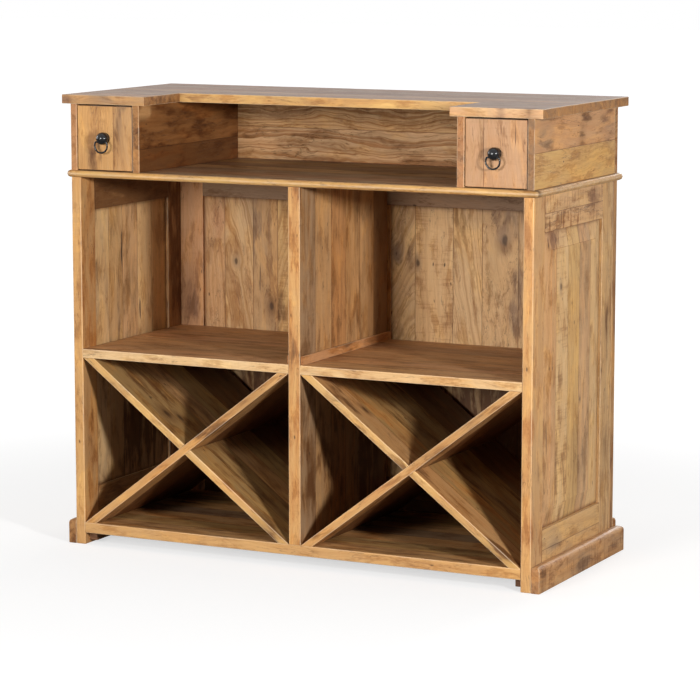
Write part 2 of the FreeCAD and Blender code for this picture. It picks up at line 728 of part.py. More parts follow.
def build_knob(label, middle):
    """A ball on a small round base, turned about the Y axis and bored for the ring's pins."""
    body = new_piece(label)
    put_at(body, middle, "drawer_face", "knob_height")
    ball, centre = size("knob_radius"), size("knob_centre")
    base, lip = size("knob_base_radius"), size("knob_base_thick")
    waist = math.sqrt(ball ** 2 - (centre - lip) ** 2)
    points = [(waist, -lip), (base, -lip), (base, 0), (0, 0), (0, -centre - ball)]
    sketch = sketch_on(body, "XY_Plane")
    for start, end in zip(points, points[1:]):
        sketch.addGeometry(Part.LineSegment(FreeCAD.Vector(*start, 0), FreeCAD.Vector(*end, 0)))
    circle = Part.Circle(FreeCAD.Vector(0, -centre, 0), FreeCAD.Vector(0, 0, 1), ball)
    waist_angle = math.atan2(centre - lip, waist)
    sketch.addGeometry(Part.ArcOfCircle(circle, -math.pi / 2, waist_angle))
    for number in range(3):
        hold(sketch, "Coincident", number, 2, number + 1, 1)
    hold(sketch, "Coincident", 3, 2, 4, 1)
    hold(sketch, "Coincident", 4, 2, 0, 1)
    hold(sketch, "Horizontal", 0)
    hold(sketch, "Vertical", 1)
    hold(sketch, "Horizontal", 2)
    hold(sketch, "Coincident", 2, 2, -1, 1)
    hold(sketch, "Vertical", 3)
    hold(sketch, "PointOnObject", 4, 3, -2)
    hold(sketch, "DistanceX", -1, 1, 1, 1, base, text="knob_base_radius")
    hold(sketch, "DistanceY", 1, 1, 1, 2, lip, text="knob_base_thick")
    hold(sketch, "DistanceY", 4, 3, -1, 1, centre, text="knob_centre")
    hold(sketch, "Radius", 4, ball, text="knob_radius")
    doc.recompute()
    turned = body.newObject("PartDesign::Revolution", "Turned")
    turned.Profile = sketch
    turned.ReferenceAxis = (sketch, ["V_Axis"])
    turned.Angle = 360
    doc.recompute()
    before = body.Shape.Volume
    bore(body, ("-knob_radius", "-ring_plane", "-ring_pivot_drop"), "x", "2 * knob_radius",
         "ring_wire + ring_play")
    bore(body, ("0", "-bolt_bite", "0"), "y", "bolt_bite", "bolt_radius")
    doc.recompute()
    if not body.Shape.Volume < before:
        raise RuntimeError(f"{label}: the bores cut nothing")


def build_ring(label, middle):
    """A drop ring bent from round wire: its two ends turn in level pins in the knob's bore.

    The body's own origin is on the pins' axis.
    """
    body = new_piece(label)
    put_at(body, middle, "drawer_face - ring_plane", "knob_height - ring_pivot_drop")
    radius, bend, drop = size("ring_radius"), size("ring_bend"), size("ring_centre_drop")
    pin = size("ring_pin_inner")
    bend_x = math.sqrt((radius - bend) ** 2 - (drop - bend) ** 2)
    lean = math.atan2(drop - bend, bend_x)
    up = FreeCAD.Vector(0, 0, 1)
    path = sketch_on(body, "XZ_Plane")
    path.addGeometry(Part.LineSegment(FreeCAD.Vector(-pin, 0, 0), FreeCAD.Vector(-bend_x, 0, 0)))
    for centre_x, centre_y, arc_radius, start, end in (
            (-bend_x, -bend, bend, math.pi / 2, math.pi - lean),
            (0, -drop, radius, math.pi - lean, 2 * math.pi + lean),
            (bend_x, -bend, bend, lean, math.pi / 2)):
        circle = Part.Circle(FreeCAD.Vector(centre_x, centre_y, 0), up, arc_radius)
        path.addGeometry(Part.ArcOfCircle(circle, start, end))
    path.addGeometry(Part.LineSegment(FreeCAD.Vector(bend_x, 0, 0), FreeCAD.Vector(pin, 0, 0)))
    for number in range(4):
        hold(path, "Tangent", number, 2, number + 1, 1)
    hold(path, "Horizontal", 0)
    hold(path, "Horizontal", 4)
    hold(path, "PointOnObject", 0, 1, -1)
    hold(path, "PointOnObject", 4, 2, -1)
    hold(path, "PointOnObject", 2, 3, -2)
    hold(path, "Equal", 1, 3)
    hold(path, "Radius", 2, radius, text="ring_radius")
    hold(path, "Radius", 1, bend, text="ring_bend")
    hold(path, "DistanceY", 2, 3, -1, 1, drop, text="ring_centre_drop")
    hold(path, "DistanceX", 0, 1, -1, 1, pin, text="ring_pin_inner")
    hold(path, "DistanceX", -1, 1, 4, 2, pin, text="ring_pin_inner")
    section = sketch_on(body, "YZ_Plane")
    section.addGeometry(Part.Circle(FreeCAD.Vector(0, 0, 0), up, size("ring_wire")))
    hold(section, "Coincident", 0, 3, -1, 1)
    hold(section, "Radius", 0, size("ring_wire"), text="ring_wire")
    bind(section, "AttachmentOffset.Base.z", "-ring_pin_inner")
    doc.recompute()
    wire = body.newObject("PartDesign::AdditivePipe", "Wire")
    wire.Profile = section
    wire.Spine = (path, [])
    doc.recompute()


# ---------------------------------------------------------------- make, check and write
build_side_frame("left")
build_side_frame("right")
build_back_frame()
build_case_boards()
for rack_side, rack_name in ((-1, "left"), (1, "right")):
    build_rack(rack_side, rack_name)
build_plinths()
build_counter_board()
build_gallery()
build_fixings()
for drawer_side, drawer_name in ((-1, "left"), (1, "right")):
    build_drawer(drawer_side, drawer_name)
doc.recompute()

for thing in doc.Objects:
    if "Invalid" in thing.State or "Error" in thing.State:
        raise RuntimeError(f"{thing.Label}: {thing.State}")
os.makedirs("parts", exist_ok=True)
for piece in pieces:
    if piece.Shape.isNull() or not piece.Shape.isValid() or not piece.Shape.Solids:
        raise RuntimeError(f"{piece.Label}: the shape is not a valid solid")
    piece.Shape.exportStep(f"parts/{piece.Label}.step")
whole = FreeCAD.BoundBox()
for piece in pieces:
    whole.add(piece.Shape.BoundBox)
print(len(pieces), "pieces, overall", [round(side, 2) for side in (
    whole.XMin, whole.XMax, whole.YMin, whole.YMax, whole.ZMin, whole.ZMax)])
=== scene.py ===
"""A bar counter in rustic hardwood: glued boards, black iron pulls, floor, lamps and camera."""
import math
import random

import bpy
import numpy as np
from bpy.props import FloatProperty, FloatVectorProperty, IntProperty, PointerProperty
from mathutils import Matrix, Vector


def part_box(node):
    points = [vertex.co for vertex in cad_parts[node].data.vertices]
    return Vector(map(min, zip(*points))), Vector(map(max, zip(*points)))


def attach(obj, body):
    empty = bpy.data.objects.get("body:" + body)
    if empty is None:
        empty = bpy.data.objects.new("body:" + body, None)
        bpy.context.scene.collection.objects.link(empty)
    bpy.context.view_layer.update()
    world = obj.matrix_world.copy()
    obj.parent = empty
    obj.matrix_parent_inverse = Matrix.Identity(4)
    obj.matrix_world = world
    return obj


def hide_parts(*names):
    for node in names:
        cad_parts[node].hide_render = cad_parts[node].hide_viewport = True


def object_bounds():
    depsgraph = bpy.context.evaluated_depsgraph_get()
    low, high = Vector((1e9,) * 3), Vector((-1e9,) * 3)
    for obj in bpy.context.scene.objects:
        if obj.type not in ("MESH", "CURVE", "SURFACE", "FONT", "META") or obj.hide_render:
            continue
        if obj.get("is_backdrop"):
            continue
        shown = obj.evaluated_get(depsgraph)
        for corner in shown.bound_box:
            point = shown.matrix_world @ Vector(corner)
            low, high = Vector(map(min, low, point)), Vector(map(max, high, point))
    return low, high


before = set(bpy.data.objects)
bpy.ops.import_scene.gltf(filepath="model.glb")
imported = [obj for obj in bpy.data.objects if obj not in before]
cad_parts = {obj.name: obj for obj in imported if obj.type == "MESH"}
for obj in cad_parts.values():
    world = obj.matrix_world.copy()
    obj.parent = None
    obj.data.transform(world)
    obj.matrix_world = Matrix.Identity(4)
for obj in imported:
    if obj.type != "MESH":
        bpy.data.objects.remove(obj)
CAD_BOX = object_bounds()

bl_info = {
    "name": "Bar counter with shelves",
    "version": (1, 0, 0),
    "blender": (4, 5, 0),
    "location": "View3D > Sidebar > Bar counter",
    "description": "Builds the boards, ironwork and stage of a rustic bar counter",
    "category": "Object",
}

MM = 0.001
AXES = "xyz"
EDGES = ("u0", "u1", "v0", "v1")
SUPPORT = 1.1 * MM  # from a rounded edge to the mesh line that keeps the face flat
CORNER_SHARE = 0.29  # where the mesh line inside a rounded edge runs
CROSS_STEP = 1.3  # how much further apart the lines across a stave are
OPEN_EDGE = 0.6 * MM  # an edge rounder than this is open, and a sharper one is glued
NARROWEST = 0.02 * MM
DENT_REACH = 2.2 * MM
# the pale band of wear and painted highlight reaches this far from an open edge, the dark glue line
# with painted shade this far from a seam
WEAR_AND_HIGHLIGHT_REACH = 2.4 * MM
GLUE_AND_SHADE_REACH = 1.2 * MM
ON_EDGE = 1e-12
CORNER_LINE = 0.55  # where the inner mesh line of a round corner runs
USUAL_STAVE = 75 * MM
DENT_WAVES = (0.05, 0.083, 0.031)
DENT_FLOOR = 0.25
SWAY_ALONG = (0.31, 0.17)
SWAY_ACROSS = (0.09, 0.06)
EDGE_FADE = 1.5
SMUDGE_RIM = 1.15
# for each mark of a stave, its trait's usual range and what one mark adds
MARKS = {"r": (0.2, 0.6, 0.6), "s": (0.3, 0.7, 0.35), "h": (-0.45, 0.0, 0.35),
         "x": (0.0, 0.12, 0.28)}
RUN_OUT = 0.14


# ---------------------------------------------------------------- settings

def tone(name, words, red, green, blue):
    """A wood tone as the eye sees it, from 0 to 255 a channel."""
    default = (red / 255, green / 255, blue / 255)
    return FloatVectorProperty(name=name, description=words, subtype="COLOR_GAMMA", size=3,
                               min=0, max=1, default=default)


def length(name, words, millimetres):
    return FloatProperty(name=name, description=words, default=millimetres * MM, min=0,
                         subtype="DISTANCE", unit="LENGTH", precision=5)


def share(name, words, value, top=1.0):
    return FloatProperty(name=name, description=words, default=value, min=0, max=top,
                         subtype="FACTOR")


def power(name, words, watts):
    return FloatProperty(name=name, description=words, default=watts, min=0, unit="POWER")


def angle(name, words, degrees):
    return FloatProperty(name=name, description=words, default=math.radians(degrees),
                         subtype="ANGLE", unit="ROTATION")


class TimberTones(bpy.types.PropertyGroup):
    """The tones that the glued boards are matched from."""
    honey: tone("Honey", "Warm golden sapwood", 204, 158, 102)
    cream: tone("Cream", "The palest sapwood", 218, 182, 134)
    tan: tone("Tan", "The common middle tone", 190, 146, 98)
    straw: tone("Straw", "Yellow sapwood", 206, 164, 102)
    rose: tone("Rose", "Pinkish tan", 200, 152, 110)
    ginger: tone("Ginger", "Orange-brown", 184, 128, 76)
    olive: tone("Olive", "Yellow-brown with green in it", 166, 132, 84)
    smoke: tone("Smoke", "Grey-brown", 150, 122, 96)
    plum: tone("Plum", "Purple-brown heartwood", 140, 104, 78)
    umber: tone("Umber", "Dark brown heartwood", 112, 76, 46)
    walnut: tone("Walnut", "The darkest, reddest brown", 92, 54, 26)
    soot: tone("Soot", "Knots, cracks and pores", 56, 36, 24)


class TimberShape(bpy.types.PropertyGroup):
    """How the boards' edges and faces are finished."""
    arris: length("Arris", "Rounding of an open edge", 1.5)
    seam: length("Seam", "Rounding along a glue line", 0.32)
    butt: length("Butt end", "Rounding where an end meets another board", 0.3)
    wear: length("Wear", "Depth of the dents along an open edge", 0.5)
    sway: length("Sway", "Unevenness of a planed face", 0.14)
    step: length("Step", "Distance between the lines of a board's mesh", 15)
    match: share("Match", "How closely the staves of one board are matched", 0.15)
    seed: IntProperty(name="Seed", description="Chooses the cuts of timber", default=7)


class TimberFinish(bpy.types.PropertyGroup):
    """How strongly the grain shows and how the lacquer shines."""
    rings: share("Rings", "Strength of the growth rings", 0.55, 2)
    streaks: share("Streaks", "Strength of the streaks along the grain", 0.75, 2)
    mottle: share("Mottle", "Strength of the mottling", 0.55, 2)
    roughness: share("Roughness", "Roughness of the satin lacquer", 0.46)
    top_roughness: share("Top roughness", "Roughness of the lacquer on the bar top", 0.42)


class IronFinish(bpy.types.PropertyGroup):
    """The black pulls and the steel fixings."""
    black: tone("Black", "Black lacquer on the pulls", 20, 20, 22)
    steel: tone("Steel", "Zinc-plated steel of the screws", 168, 168, 166)
    wire: length("Ring wire", "Radius of the wire of a drop ring", 2.1)
    base_lip: length("Base lip", "Rounding of the base under a knob", 0.7)


class StageSettings(bpy.types.PropertyGroup):
    """Floor, lamps and camera."""
    floor: tone("Floor", "Pale floor", 236, 236, 236)
    bounce: tone("Bounce", "The tone that the floor throws back on the counter", 140, 138, 134)
    ambient: FloatProperty(name="Ambient", description="Strength of the light from all round",
                           default=0.1, min=0)
    key: power("Key", "Power of the large lamp in front on the right", 150)
    fill: power("Fill", "Power of the lamp in front on the left", 190)
    overhead: power("Overhead", "Power of the lamp above", 16)
    rear: power("Rear", "Power of the lamp behind", 100)
    side: power("Side", "Power of the lamp on the left", 85)
    lens: FloatProperty(name="Lens", description="Focal length on a 36 mm frame", default=148.31,
                        min=1, unit="CAMERA")
    turn: angle("Camera turn", "How far the view turns from straight on", 26.439)
    tilt: angle("Camera tilt", "How far the view looks down", 8.504)
    spot: FloatVectorProperty(name="Camera place", description="Where the camera stands",
                              default=(2.9596, -5.91265, 1.4549), subtype="TRANSLATION",
                              unit="LENGTH")


SETTINGS = {"bar_tones": TimberTones, "bar_shape": TimberShape, "bar_finish": TimberFinish,
            "bar_iron": IronFinish, "bar_stage": StageSettings}


def linear(colour):
    """A colour as the eye sees it, turned into the linear values that the shader mixes."""
    rgb = [c / 12.92 if c <= 0.04045 else ((c + 0.055) / 1.055) ** 2.4 for c in colour]
    return (*rgb, 1.0)


# ---------------------------------------------------------------- materials

class Term:
    """A socket of a material's nodes, whose arithmetic adds the Math nodes."""

    def __init__(self, recipe, socket):
        self.recipe = recipe
        self.socket = socket

    def maths(self, operation, *others):
        settings = {"operation": operation}
        values = dict(enumerate((self, *others)))
        return self.recipe.add("ShaderNodeMath", settings, values)

    def __add__(self, other):
        return self.maths("ADD", other)

    __radd__ = __add__

    def __sub__(self, other):
        return self.maths("SUBTRACT", other)

    def __rsub__(self, other):
        return self.recipe.add("ShaderNodeMath", {"operation": "SUBTRACT"}, {0: other, 1: self})

    def __mul__(self, other):
        return self.maths("MULTIPLY", other)

    __rmul__ = __mul__

    def __truediv__(self, other):
        return self.maths("DIVIDE", other)

    def __abs__(self):
        return self.maths("ABSOLUTE")


class Recipe:
    """The nodes of one material or world."""

    def __init__(self, owner):
        owner.use_nodes = True
        self.owner = owner
        self.tree = owner.node_tree
        self.tree.nodes.clear()

    def add(self, kind, settings=None, values=None, out=0):
        """Adds a node: its settings first, then the values or links of its sockets."""
        node = self.tree.nodes.new(kind)
        for key, value in (settings or {}).items():
            setattr(node, key, value)
        for key, value in (values or {}).items():
            socket = node.inputs[key]
            if isinstance(value, Term):
                self.tree.links.new(value.socket, socket)
            else:
                socket.default_value = value
        return Term(self, node.outputs[out]) if node.outputs else None

    def read(self, name, out="Vector"):
        return self.add("ShaderNodeAttribute", {"attribute_name": name}, out=out)

    def where(self, out="Object"):
        return self.add("ShaderNodeTexCoord", out=out)

    def vector(self, operation, *parts, out=0):
        return self.add("ShaderNodeVectorMath", {"operation": operation}, dict(enumerate(parts)),
                        out)

    def noise(self, place, stretch, detail=2.0, roughness=0.5, out=0, distortion=0.0):
        """Noise that runs as many times as fast along each axis as the stretch says."""
        values = {"Vector": self.vector("MULTIPLY", place, stretch), "Scale": 1.0,
                  "Detail": detail, "Roughness": roughness, "Distortion": distortion}
        return self.add("ShaderNodeTexNoise", {}, values, out)

    def ramp(self, value, low, high, to_low=0.0, to_high=1.0):
        """A smooth step between two values."""
        values = {"Value": value, "From Min": low, "From Max": high, "To Min": to_low,
                  "To Max": to_high}
        return self.add("ShaderNodeMapRange", {"interpolation_type": "SMOOTHSTEP"}, values)

    def mix(self, factor, first, second, blend="MIX"):
        settings = {"data_type": "RGBA", "blend_type": blend}
        return self.add("ShaderNodeMix", settings, {0: factor, 6: first, 7: second}, 2)

    def coat(self, colour, layers):
        """Lays (mask, colour, blend) layers over a colour, one after the other."""
        for factor, tint, blend in layers:
            colour = self.mix(factor, colour, tint, blend)
        return colour

    def split(self, vector):
        node = self.add("ShaderNodeSeparateXYZ", {}, {0: vector}).socket.node
        return [Term(self, socket) for socket in node.outputs]

    def finish(self, colour, roughness, height, distance, constants=None):
        """Ends the recipe in one shader with a bump from a height."""
        normal = self.add("ShaderNodeBump", {}, {"Height": height, "Distance": distance,
                                                 "Strength": 0.6})
        values = {"Base Color": colour, "Roughness": roughness, "Normal": normal}
        shader = self.add("ShaderNodeBsdfPrincipled", {}, {**values, **(constants or {})})
        self.add("ShaderNodeOutputMaterial", {}, {"Surface": shader})
        return self.owner


def grained_wood(name, roughness, coat=0.0, wander=0.02, relief=0.0007):
    """Lacquered hardwood that reads the cut of each stave from the mesh."""
    finish = bpy.context.scene.bar_finish
    soot = linear(bpy.context.scene.bar_tones.soot)
    r = Recipe(bpy.data.materials.new(name))
    grain = r.read("grain")
    ring_share, streak_share, heart_share = r.split(r.read("traits"))
    knot_u, knot_v, knot_size = r.split(r.read("knot"))
    crack_u, crack_v, cracked = r.split(r.read("crack"))
    edge = r.read("edge", "Fac")

    # knots turn the grain aside
    reach = (knot_u * knot_u * 0.3 + knot_v * knot_v).maths("SQRT")
    present = r.ramp(knot_size, 0.0001, 0.0005)
    near = r.ramp(reach / (knot_size + 0.0001), 5.0, 0.6) * present
    lean = r.add("ShaderNodeCombineXYZ", {}, {1: knot_v * near * -0.8, 2: near * knot_size})
    drift = r.vector("SUBTRACT", r.noise(grain, (4.5, 11, 11), 3, 0.55, 1), (0.5, 0.5, 0.5))
    drift = r.vector("MULTIPLY", drift, (0.0, wander * 2, wander * 2))
    bent = r.vector("ADD", r.vector("ADD", grain, drift), lean)

    # growth rings, clouds, mottling, streaks, dashes and pores, from coarse to fine
    along = r.split(bent)[0]
    radius = r.vector("LENGTH", r.vector("MULTIPLY", bent, (0.0, 1.0, 1.0)), out=1)
    radius = radius + along * 0.02
    rings = r.add("ShaderNodeTexNoise", {"noise_dimensions": "1D"},
                  {"W": radius, "Scale": 110.0, "Detail": 3.0, "Roughness": 0.65})
    heart, pale, hue = r.split(r.noise(bent, (5, 17, 17), 5, 0.62, 1, 0.8))
    mottle = r.noise(bent, (12, 38, 38), 4, 0.56)
    streaks = r.noise(bent, (5, 70, 70), 4, 0.58)
    dashes = r.noise(bent, (48, 240, 240), 4, 0.7)
    fibres = r.noise(bent, (16, 520, 520), 2, 0.6)
    bars = r.noise(bent, (170, 16, 16), 4, 0.7)

    ring_mask = r.ramp(rings, 0.42, 0.66) * ring_share * finish.rings
    streak_mask = r.ramp(streaks * 0.5 + mottle * 0.5, 0.4, 0.6) * streak_share
    ragged = (mottle - 0.5) * 1.1 + (streaks - 0.5) * 0.7
    heart_mask = r.ramp(heart + ragged + heart_share * 0.42, 0.55, 0.85)
    pale_mask = r.ramp(pale + (mottle - 0.5) * 0.6, 0.5, 0.64)
    mottle_mask = r.ramp(mottle + (dashes - 0.5) * 0.5, 0.5, 0.66)
    dash_mask = r.ramp(dashes, 0.57, 0.68) * r.ramp(hue + (mottle - 0.5) * 0.9, 0.5, 0.62)
    bar_mask = r.ramp(bars + (mottle - 0.5) * 0.5, 0.5, 0.66) * r.read("cross", "Fac")
    vein = r.ramp(abs(streaks - 0.53), 0.014, 0.0) * r.ramp(pale, 0.5, 0.42)

    # flecks and pin knots
    spots = r.add("ShaderNodeTexVoronoi", {}, {"Vector": r.vector("MULTIPLY", bent, (22, 60, 60)),
                                               "Scale": 1.0})
    cell = r.split(Term(r, spots.socket.node.outputs["Color"]))[0]
    fleck = r.ramp(spots + (dashes - 0.5) * 0.15, 0.15, 0.04) * r.ramp(cell, 0.22, 0.12)

    # a knot with a dark rim, and a drying crack that is widest at its middle
    knot_field = reach / (knot_size + 0.0001) + (streaks - 0.5) * 1.6 + (mottle - 0.5) * 2.4
    core = r.ramp(knot_field, 1.1, 0.3) * present
    halo = r.ramp(knot_field, 3.0, 0.8) * present
    stray = abs(crack_v + (mottle - 0.5) * 5.0 + (dashes - 0.5) * 1.5)
    gape = 1.05 - crack_u * crack_u
    crack = r.ramp(gape - stray, -0.1, 0.5) * cracked
    brink = r.ramp(gape * 2.6 - stray, 0.0, 1.4) * cracked

    # end grain drinks the lacquer; arrises are pale, partly wear and partly painted highlight where
    # they catch the light; glue lines are dark, partly glue and partly painted shade in the seams
    end = r.ramp(abs(r.vector("DOT_PRODUCT", r.read("fibre"), r.where("Normal"), out=1)), 0.6, 0.9)
    worn = r.ramp(edge + (mottle - 0.5) * 1.6, 0.45, 1.1)
    glue = r.ramp(edge, 0.0, -1.0)

    deep = r.read("deep", "Color")
    colour = r.coat(r.read("light", "Color"), (
        (streak_mask * finish.streaks, r.read("dark", "Color"), "MIX"),
        (pale_mask * 0.4, (1.0, 0.8, 0.56, 1.0), "SOFT_LIGHT"),
        (ring_mask, (0.6, 0.46, 0.33, 1.0), "MULTIPLY"),
        (heart_mask * 0.85, deep, "MIX"),
        (mottle_mask * finish.mottle, (0.55, 0.42, 0.3, 1.0), "MULTIPLY"),
        (r.ramp(hue, 0.42, 0.6) * 0.3, (1.0, 0.84, 0.6, 1.0), "MULTIPLY"),
        (bar_mask, (0.5, 0.34, 0.22, 1.0), "MULTIPLY"),
        (dash_mask * 0.32, (0.36, 0.25, 0.16, 1.0), "MULTIPLY"),
        (r.ramp(fibres, 0.35, 0.75) * 0.3, (0.6, 0.5, 0.4, 1.0), "MULTIPLY"),
        (vein * 0.5, soot, "MIX"),
        (fleck * 0.8, soot, "MIX"),
        (halo * 0.6, deep, "MIX"),
        (core * 0.75, soot, "MIX"),
        (brink * 0.6, deep, "MIX"),
        (crack * 0.85, soot, "MIX"),
        (end * 0.8, (0.72, 0.62, 0.52, 1.0), "MULTIPLY"),
        (worn * 0.2, (1.0, 0.86, 0.64, 1.0), "SCREEN"),
        (glue * 0.8, (0.3, 0.2, 0.14, 1.0), "MULTIPLY"),
    ))
    shine = roughness + (dashes - 0.5) * 0.2 + heart_mask * 0.06 + end * 0.15
    height = fibres * 0.35 + streaks * 0.6 + mottle * 0.8 - dash_mask * 0.5 - vein * 0.6
    height = height - fleck - core * 0.6 - crack * 1.5
    return r.finish(colour, shine, height, relief,
                    {"Coat Weight": coat, "Coat Roughness": 0.22, "IOR": 1.45,
                     "Specular IOR Level": 0.3})


def raw_wood(name, light, dark):
    """Plain unfinished wood of the hidden dowels and bearers."""
    r = Recipe(bpy.data.materials.new(name))
    place = r.where()
    streaks = r.noise(place, (90, 260, 260), 4, 0.6)
    colour = r.mix(r.ramp(streaks, 0.35, 0.7), linear(light), linear(dark))
    blotch = r.ramp(r.noise(place, (14, 14, 14)), 0.45, 0.75)
    colour = r.mix(blotch * 0.5, colour, linear(dark))
    return r.finish(colour, 0.7 + (streaks - 0.5) * 0.2, streaks, 0.0005)


def black_lacquer(name, black):
    """Gloss black paint over cast iron, a little thin and uneven."""
    r = Recipe(bpy.data.materials.new(name))
    place = r.where()
    worn = r.ramp(r.noise(place, (130, 130, 130), 4, 0.65), 0.62, 0.72)
    colour = r.mix(worn * 0.35, linear(black), linear((0.2, 0.18, 0.16)))
    return r.finish(colour, 0.2 + worn * 0.2, r.noise(place, (420, 420, 420)), 0.00012,
                    {"Coat Weight": 0.2, "Coat Roughness": 0.06, "Specular IOR Level": 0.3})


def plated_steel(name, steel):
    """Zinc-plated steel with turning marks."""
    r = Recipe(bpy.data.materials.new(name))
    place = r.where()
    marks = r.noise(place, (2400, 500, 500), 3)
    patch_weight = r.ramp(r.noise(place, (160, 160, 160), 3), 0.45, 0.75)
    colour = r.mix(patch_weight * 0.5, linear(steel), linear((0.45, 0.42, 0.38)))
    return r.finish(colour, 0.3 + marks * 0.2, marks, 0.00008, {"Metallic": 1.0})


MATERIALS = {}


def material(name):
    """Makes each finish once."""
    scene = bpy.context.scene
    tones = scene.bar_tones
    makers = {
        "board": (grained_wood, "satin_hardwood", scene.bar_finish.roughness),
        "top": (grained_wood, "bar_top_hardwood", scene.bar_finish.top_roughness, 0.04),
        "sawn": (grained_wood, "rough_sawn_hardwood", 0.6, 0.0, 0.03, 0.002),
        "raw": (raw_wood, "raw_dowel_wood", tones.cream, tones.tan),
        "stained": (raw_wood, "stained_bearer_wood", tones.umber, tones.walnut),
        "iron": (black_lacquer, "black_iron_lacquer", scene.bar_iron.black),
        "steel": (plated_steel, "plated_steel", scene.bar_iron.steel),
    }
    if name not in MATERIALS:
        make, *given = makers[name]
        MATERIALS[name] = make(*given)
    return MATERIALS[name]


def refinish(finish, *nodes):
    """Gives carried-over nodes a finish of their own."""
    for node in nodes:
        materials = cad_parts[node].data.materials
        materials.clear()
        materials.append(material(finish))


def new_object(name, data):
    """Puts an object with this data in the scene."""
    thing = bpy.data.objects.new(name, data)
    bpy.context.scene.collection.objects.link(thing)
    return thing


# ---------------------------------------------------------------- boards

def edge_drop(distance, radius):
    """How far a rounded face has fallen at a distance from its edge."""
    radius = np.maximum(radius, 1e-9)
    short = radius - np.minimum(distance, radius)
    return radius - np.sqrt(np.maximum(0.0, radius * radius - short * short))


def ripple(rng, places, waves):
    """Gentle unevenness: a few sines of odd wavelengths along a line."""
    total = np.zeros_like(places)
    for wave in waves:
        pitch = 2 * math.pi / (wave * rng.uniform(0.8, 1.25))
        total += np.sin(places * pitch + rng.uniform(0, 6.28))
    return total / len(waves)


def grid_lines(span, low, high, step, extra=()):
    """Lines across a stave: close together over its rounded edges, then evenly spaced."""
    lines = {0.0, span, *extra}
    for start, sign, radius in ((0.0, 1, low), (span, -1, high)):
        for part in (CORNER_SHARE * radius, radius, radius + SUPPORT):
            lines.add(start + sign * part)
    first = low + SUPPORT
    last = span - high - SUPPORT
    count = max(1, round((last - first) / step))
    lines.update(first + (last - first) * i / count for i in range(count + 1))
    kept = []
    for line in sorted(lines):
        if 0 <= line <= span and (not kept or line - kept[-1] > NARROWEST):
            kept.append(line)
    kept[-1] = span
    return np.array(kept)


class Stave:
    """One strip of wood: its size, rounded edges and the tree it was cut from."""

    def __init__(self, size, radii, rng, tones, traits):
        self.size = size
        self.radii = radii
        self.rng = rng
        self.tones = tones
        self.traits = traits
        self.ring, self.streak, self.heart, self.cross, self.slant = traits
        self.offset = (rng.uniform(-4, 4), rng.uniform(-0.03, 0.03), 0.0)
        self.knot = (0.0, 0.0, 0.0)
        self.crack = None
        turn = rng.choice((0.25, 0.6, 1.1, 1.45)) * rng.choice((-1, 1))
        self.turn = (math.cos(turn), math.sin(turn))
        self.pith = rng.uniform(0.02, 0.09)

    def part(self, skip, span):
        """A shorter stretch of the same strip."""
        part = Stave((span, *self.size[1:]), self.radii, self.rng, self.tones, self.traits)
        part.offset = (self.offset[0] + skip, *self.offset[1:])
        part.turn = self.turn
        part.pith = self.pith
        part.knot = (self.knot[0] - skip, *self.knot[1:])
        return part

    def grain(self, u, v, w):
        """Where each point lay in the tree."""
        middle = v - self.size[1] / 2
        cos, sin = self.turn
        side = middle * cos - w * sin + self.offset[1] + u * self.slant
        out = middle * sin + w * cos + self.pith
        return np.stack((u + self.offset[0], side, out), -1)

    def lines(self, extra_u=(), extra_v=()):
        """The lines of its mesh, along and across."""
        step = bpy.context.scene.bar_shape.step
        u0, u1, v0, v1 = (max(self.radii[side]) for side in EDGES)
        return (grid_lines(self.size[0], u0, u1, step, extra_u),
                grid_lines(self.size[1], v0, v1, step * CROSS_STEP, extra_v))


def parse_staves(text, rng):
    """Reads "light/dark/deep:width@marks" words, one for each stave."""
    rows = []
    for word in text.split():
        word, _, marks = word.partition("@")
        word, _, width = word.partition(":")
        names = word.split("/")
        light = names[0]
        dark = names[1] if len(names) > 1 else "umber"
        deep = names[2] if len(names) > 2 else rng.choice(("umber", "plum", "smoke"))
        traits = [rng.uniform(low, high) + more * marks.count(mark)
                  for mark, (low, high, more) in MARKS.items()]
        slant = RUN_OUT * (marks.count("/") - marks.count("|"))
        rows.append((float(width or 1), (light, dark, deep), (*traits, slant)))
    return rows


def colour_table():
    """The wood tones by name, as linear colours."""
    tones = bpy.context.scene.bar_tones
    return {name: np.array(linear(getattr(tones, name))) for name in TimberTones.__annotations__}


def matched(rows, wash, amount):
    """Turns tone names into colours and draws the staves of a board nearer to each other."""
    match = bpy.context.scene.bar_shape.match
    table = colour_table()
    whole = sum(width for width, _, _ in rows)
    tones = [np.array([table[name] for name in names]) for _, names, _ in rows]
    tones = [colours * (1 - amount) + table[wash] * amount for colours in tones]
    mean = sum(colours * width for (width, _, _), colours in zip(rows, tones)) / whole
    return [(width, colours * (1 - match) + mean * match, traits)
            for (width, _, traits), colours in zip(rows, tones)]


def rounding(stave, gaps, corner):
    """How far both faces fall at the edges, and how far round corners draw the grid in."""
    falls = [sum(edge_drop(gaps[side], stave.radii[side][face]) for side in EDGES)
             for face in (0, 1)]
    shifts = [np.zeros_like(gaps["u0"]) for _ in "uv"]
    for side_u, sign_u in (("u0", 1), ("u1", -1)):
        for side_v, sign_v in (("v0", 1), ("v1", -1)):
            radii = (stave.radii[side_u], stave.radii[side_v])
            if min(max(radii[0]), max(radii[1])) < OPEN_EDGE:
                continue
            plan = max(corner, *radii[0], *radii[1])
            a = 1 - gaps[side_u] / plan
            b = 1 - gaps[side_v] / plan
            zone = (a > 0) & (b > 0)
            far = np.maximum(a, b)
            size = np.hypot(a, b) + ON_EDGE
            for shift, sign, part in zip(shifts, (sign_u, sign_v), (a, b)):
                shift += np.where(zone, sign * plan * part * (1 - far / size), 0)
            lean = (a / size) ** 2
            for face in (0, 1):
                radius = radii[0][face] * lean + radii[1][face] * (1 - lean)
                falls[face] = np.where(zone, edge_drop(plan * (1 - far), radius), falls[face])
    return falls, shifts


def inward(low, high):
    """Which way is in from an edge, 1 or -1, and 0 away from both edges."""
    return np.where(low < high, 1, -1) * (low * high < ON_EDGE)


